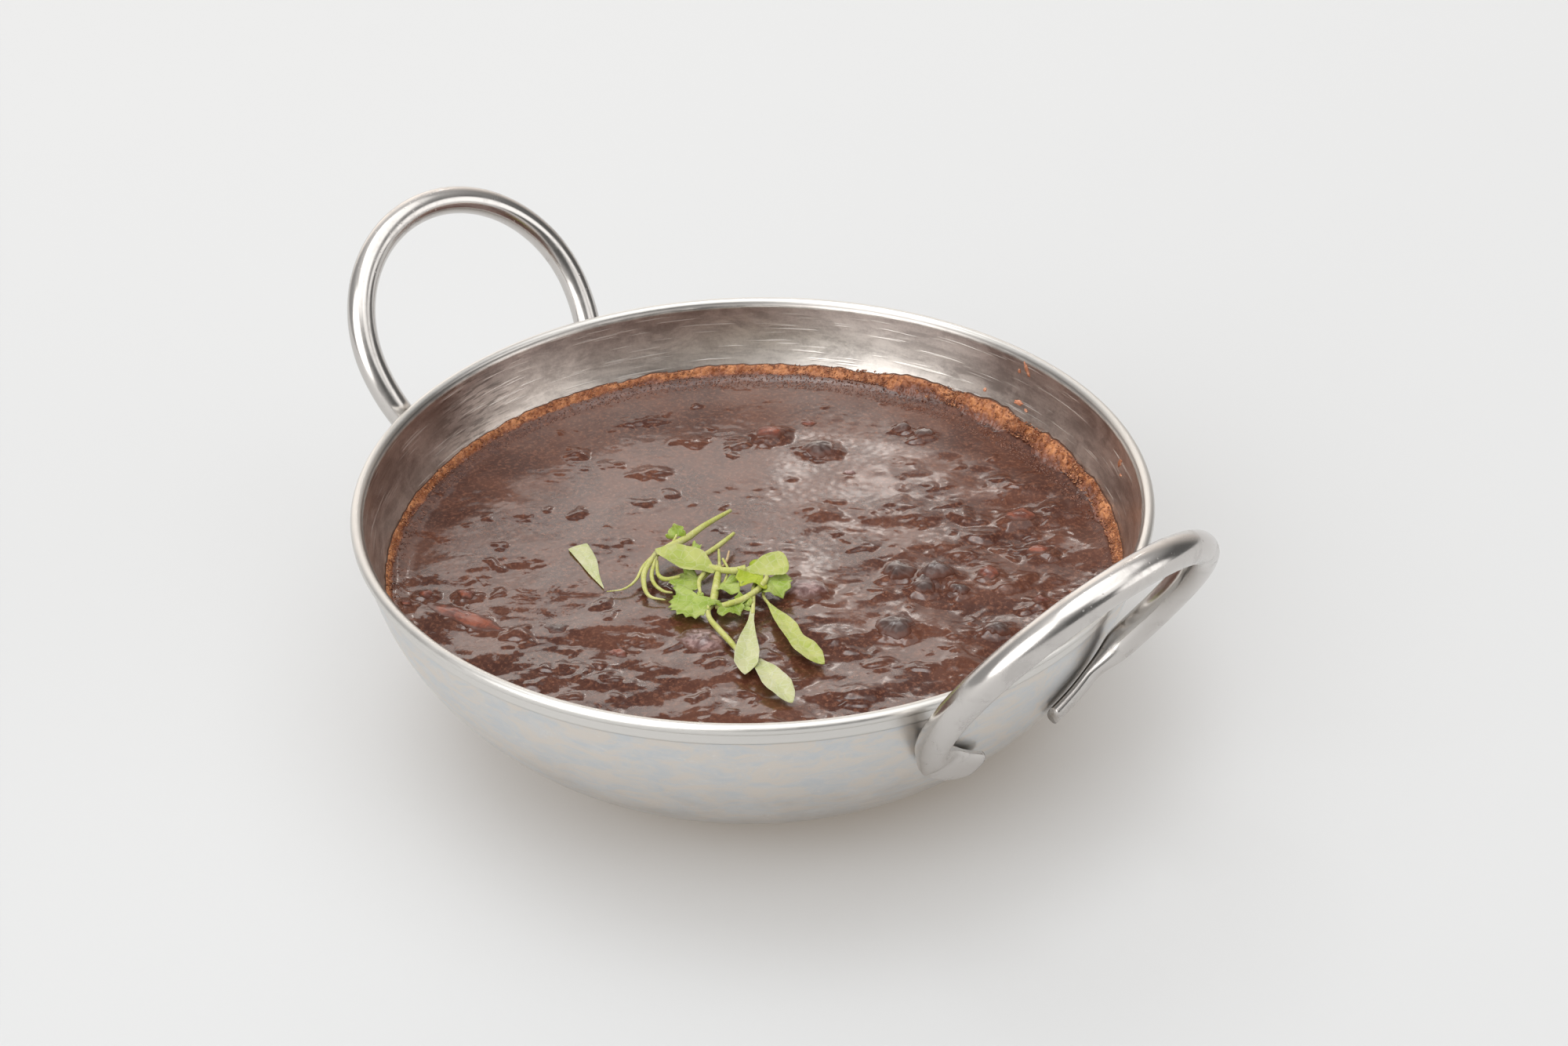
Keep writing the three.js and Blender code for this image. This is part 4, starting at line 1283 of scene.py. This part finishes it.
def light_room():
    """A photographer's room: a big soft ceiling light, a lamp behind the camera on the left, a pale
    backdrop behind the dish with the small lamp that gives the stew its glare, and a dark side to
    the right."""
    world = bpy.data.worlds.new("studio")
    bpy.context.scene.world = world
    world.use_nodes = True
    room = Tree(world.node_tree)
    direction = room.coordinates("Generated")
    turned = room.node(
        "ShaderNodeVectorRotate",
        {"rotation_type": "Z_AXIS"},
        {"Vector": direction, "Angle": -VIEW_TURN},
    )
    right, away, height = (room.part(turned, index) for index in range(3))
    level = 0.13 + room.step(right, 0.35, -0.2) * 0.27 + room.step(away, 0.5, 0.95) * 0.6
    level = level + room.step(height, 0.4, 0.8) * 0.33
    backdrop = room.step(height, 0.60, 0.66, 1.0, 0.0) * room.step(away, 0.4, 0.75)
    backdrop = backdrop * room.step(right, 0.5, 0.15)
    low, left = room.step(height, 0.48, 0.3), room.step(right, -0.05, -0.16)
    level = level + backdrop * (0.2 + 0.08 * low + 0.3 * left)
    for (a, b, c), fades, full, strength in LIGHT_PATCHES:
        level = level + room.step(right * a + away * b + height * c, fades, full) * strength
    warm = room.step(away, 0.4, 0.8) * room.step(height, 0.72, 0.6)
    background = world.node_tree.nodes["Background"]
    room.feed(background.inputs["Color"], room.blend(warm, (1.0, 0.998, 0.99), (1.0, 0.94, 0.885)))
    room.feed(background.inputs["Strength"], level)


def make_camera():
    """The camera at the photograph's place and angle."""
    data = bpy.data.cameras.new("camera")
    data.lens = CAMERA_LENS
    data.sensor_width = CAMERA_SENSOR
    data.sensor_fit = "HORIZONTAL"
    data.clip_start = 0.01
    camera = bpy.data.objects.new("camera", data)
    right, up = np.array(CAMERA_RIGHT), np.array(CAMERA_UP)
    back = np.cross(right, up)
    matrix = np.eye(4)
    matrix[:3, 0], matrix[:3, 1], matrix[:3, 2], matrix[:3, 3] = right, up, back, CAMERA_PLACE
    camera.matrix_world = mathutils.Matrix(matrix.tolist())
    bpy.context.scene.collection.objects.link(camera)
    bpy.context.scene.camera = camera


def make_dish():
    """The dish and its handles."""
    shape, marks = dish_shape()
    piece("dish", shape, dish_steel(), ["bowl"], marks)
    rod = handle_steel()
    piece("near_handle", handle_shape(-2.8, 30.4, 7.4), rod, ["handle_near"])
    piece("far_handle", handle_shape(182.8, 31.9, 6.0), rod, ["handle_far"])


def make_stew():
    """The stew, the beans and red bits that show in it, and its crust."""
    shape, leans = stew_shape()
    piece("stew_body", shape, sauce(), ["stew"], leans)
    skins = (
        ("beans", BEANS, (0.045, 0.017, 0.011), (0.10, 0.052, 0.042), 300, 1.0),
        ("red_bits", RED_BITS, (0.11, 0.026, 0.014), (0.28, 0.075, 0.036), 380, 0.7),
        ("pale_skins", PALE_SKINS, (0.11, 0.05, 0.045), (0.34, 0.215, 0.20), 480, 0.8),
    )
    for name, places, dark, light, scale, film in skins:
        domes = [dome(*place, 50 + k) for k, place in enumerate(places)]
        shapes, inward, beyond = zip(*domes)
        marks = {"inward": np.concatenate(inward), "beyond": np.concatenate(beyond)}
        piece(name, joined(shapes), skin_finish(name, dark, light, scale, film), (), marks)
    shape, inward = crust_shape()
    piece("crust", shape, crust_finish(), (), {"inward": inward})
    foam = scattered(5200, (0.1, 0.24), 0.0, 0.7, CRUST_REACH, 31)
    piece("foam", foam, foam_finish("foam_brown", (0.20, 0.07, 0.035), (0.68, 0.35, 0.19)))
    bubbles = scattered(2600, (0.1, 0.26), 0.95, 2.0, BUBBLE_REACH, 32)
    piece("bubbles", bubbles, bubble_skin())
    splashes = joined([speck(*place, 70 + k) for k, place in enumerate(SPECKS)])
    piece("splashes", splashes, foam_finish("splash_orange", (0.55, 0.23, 0.13), (0.85, 0.50, 0.35)))


make_camera()
make_floor()
light_room()
make_dish()
make_stew()
make_garnish()

bpy.context.scene.view_settings.view_transform = "Standard"
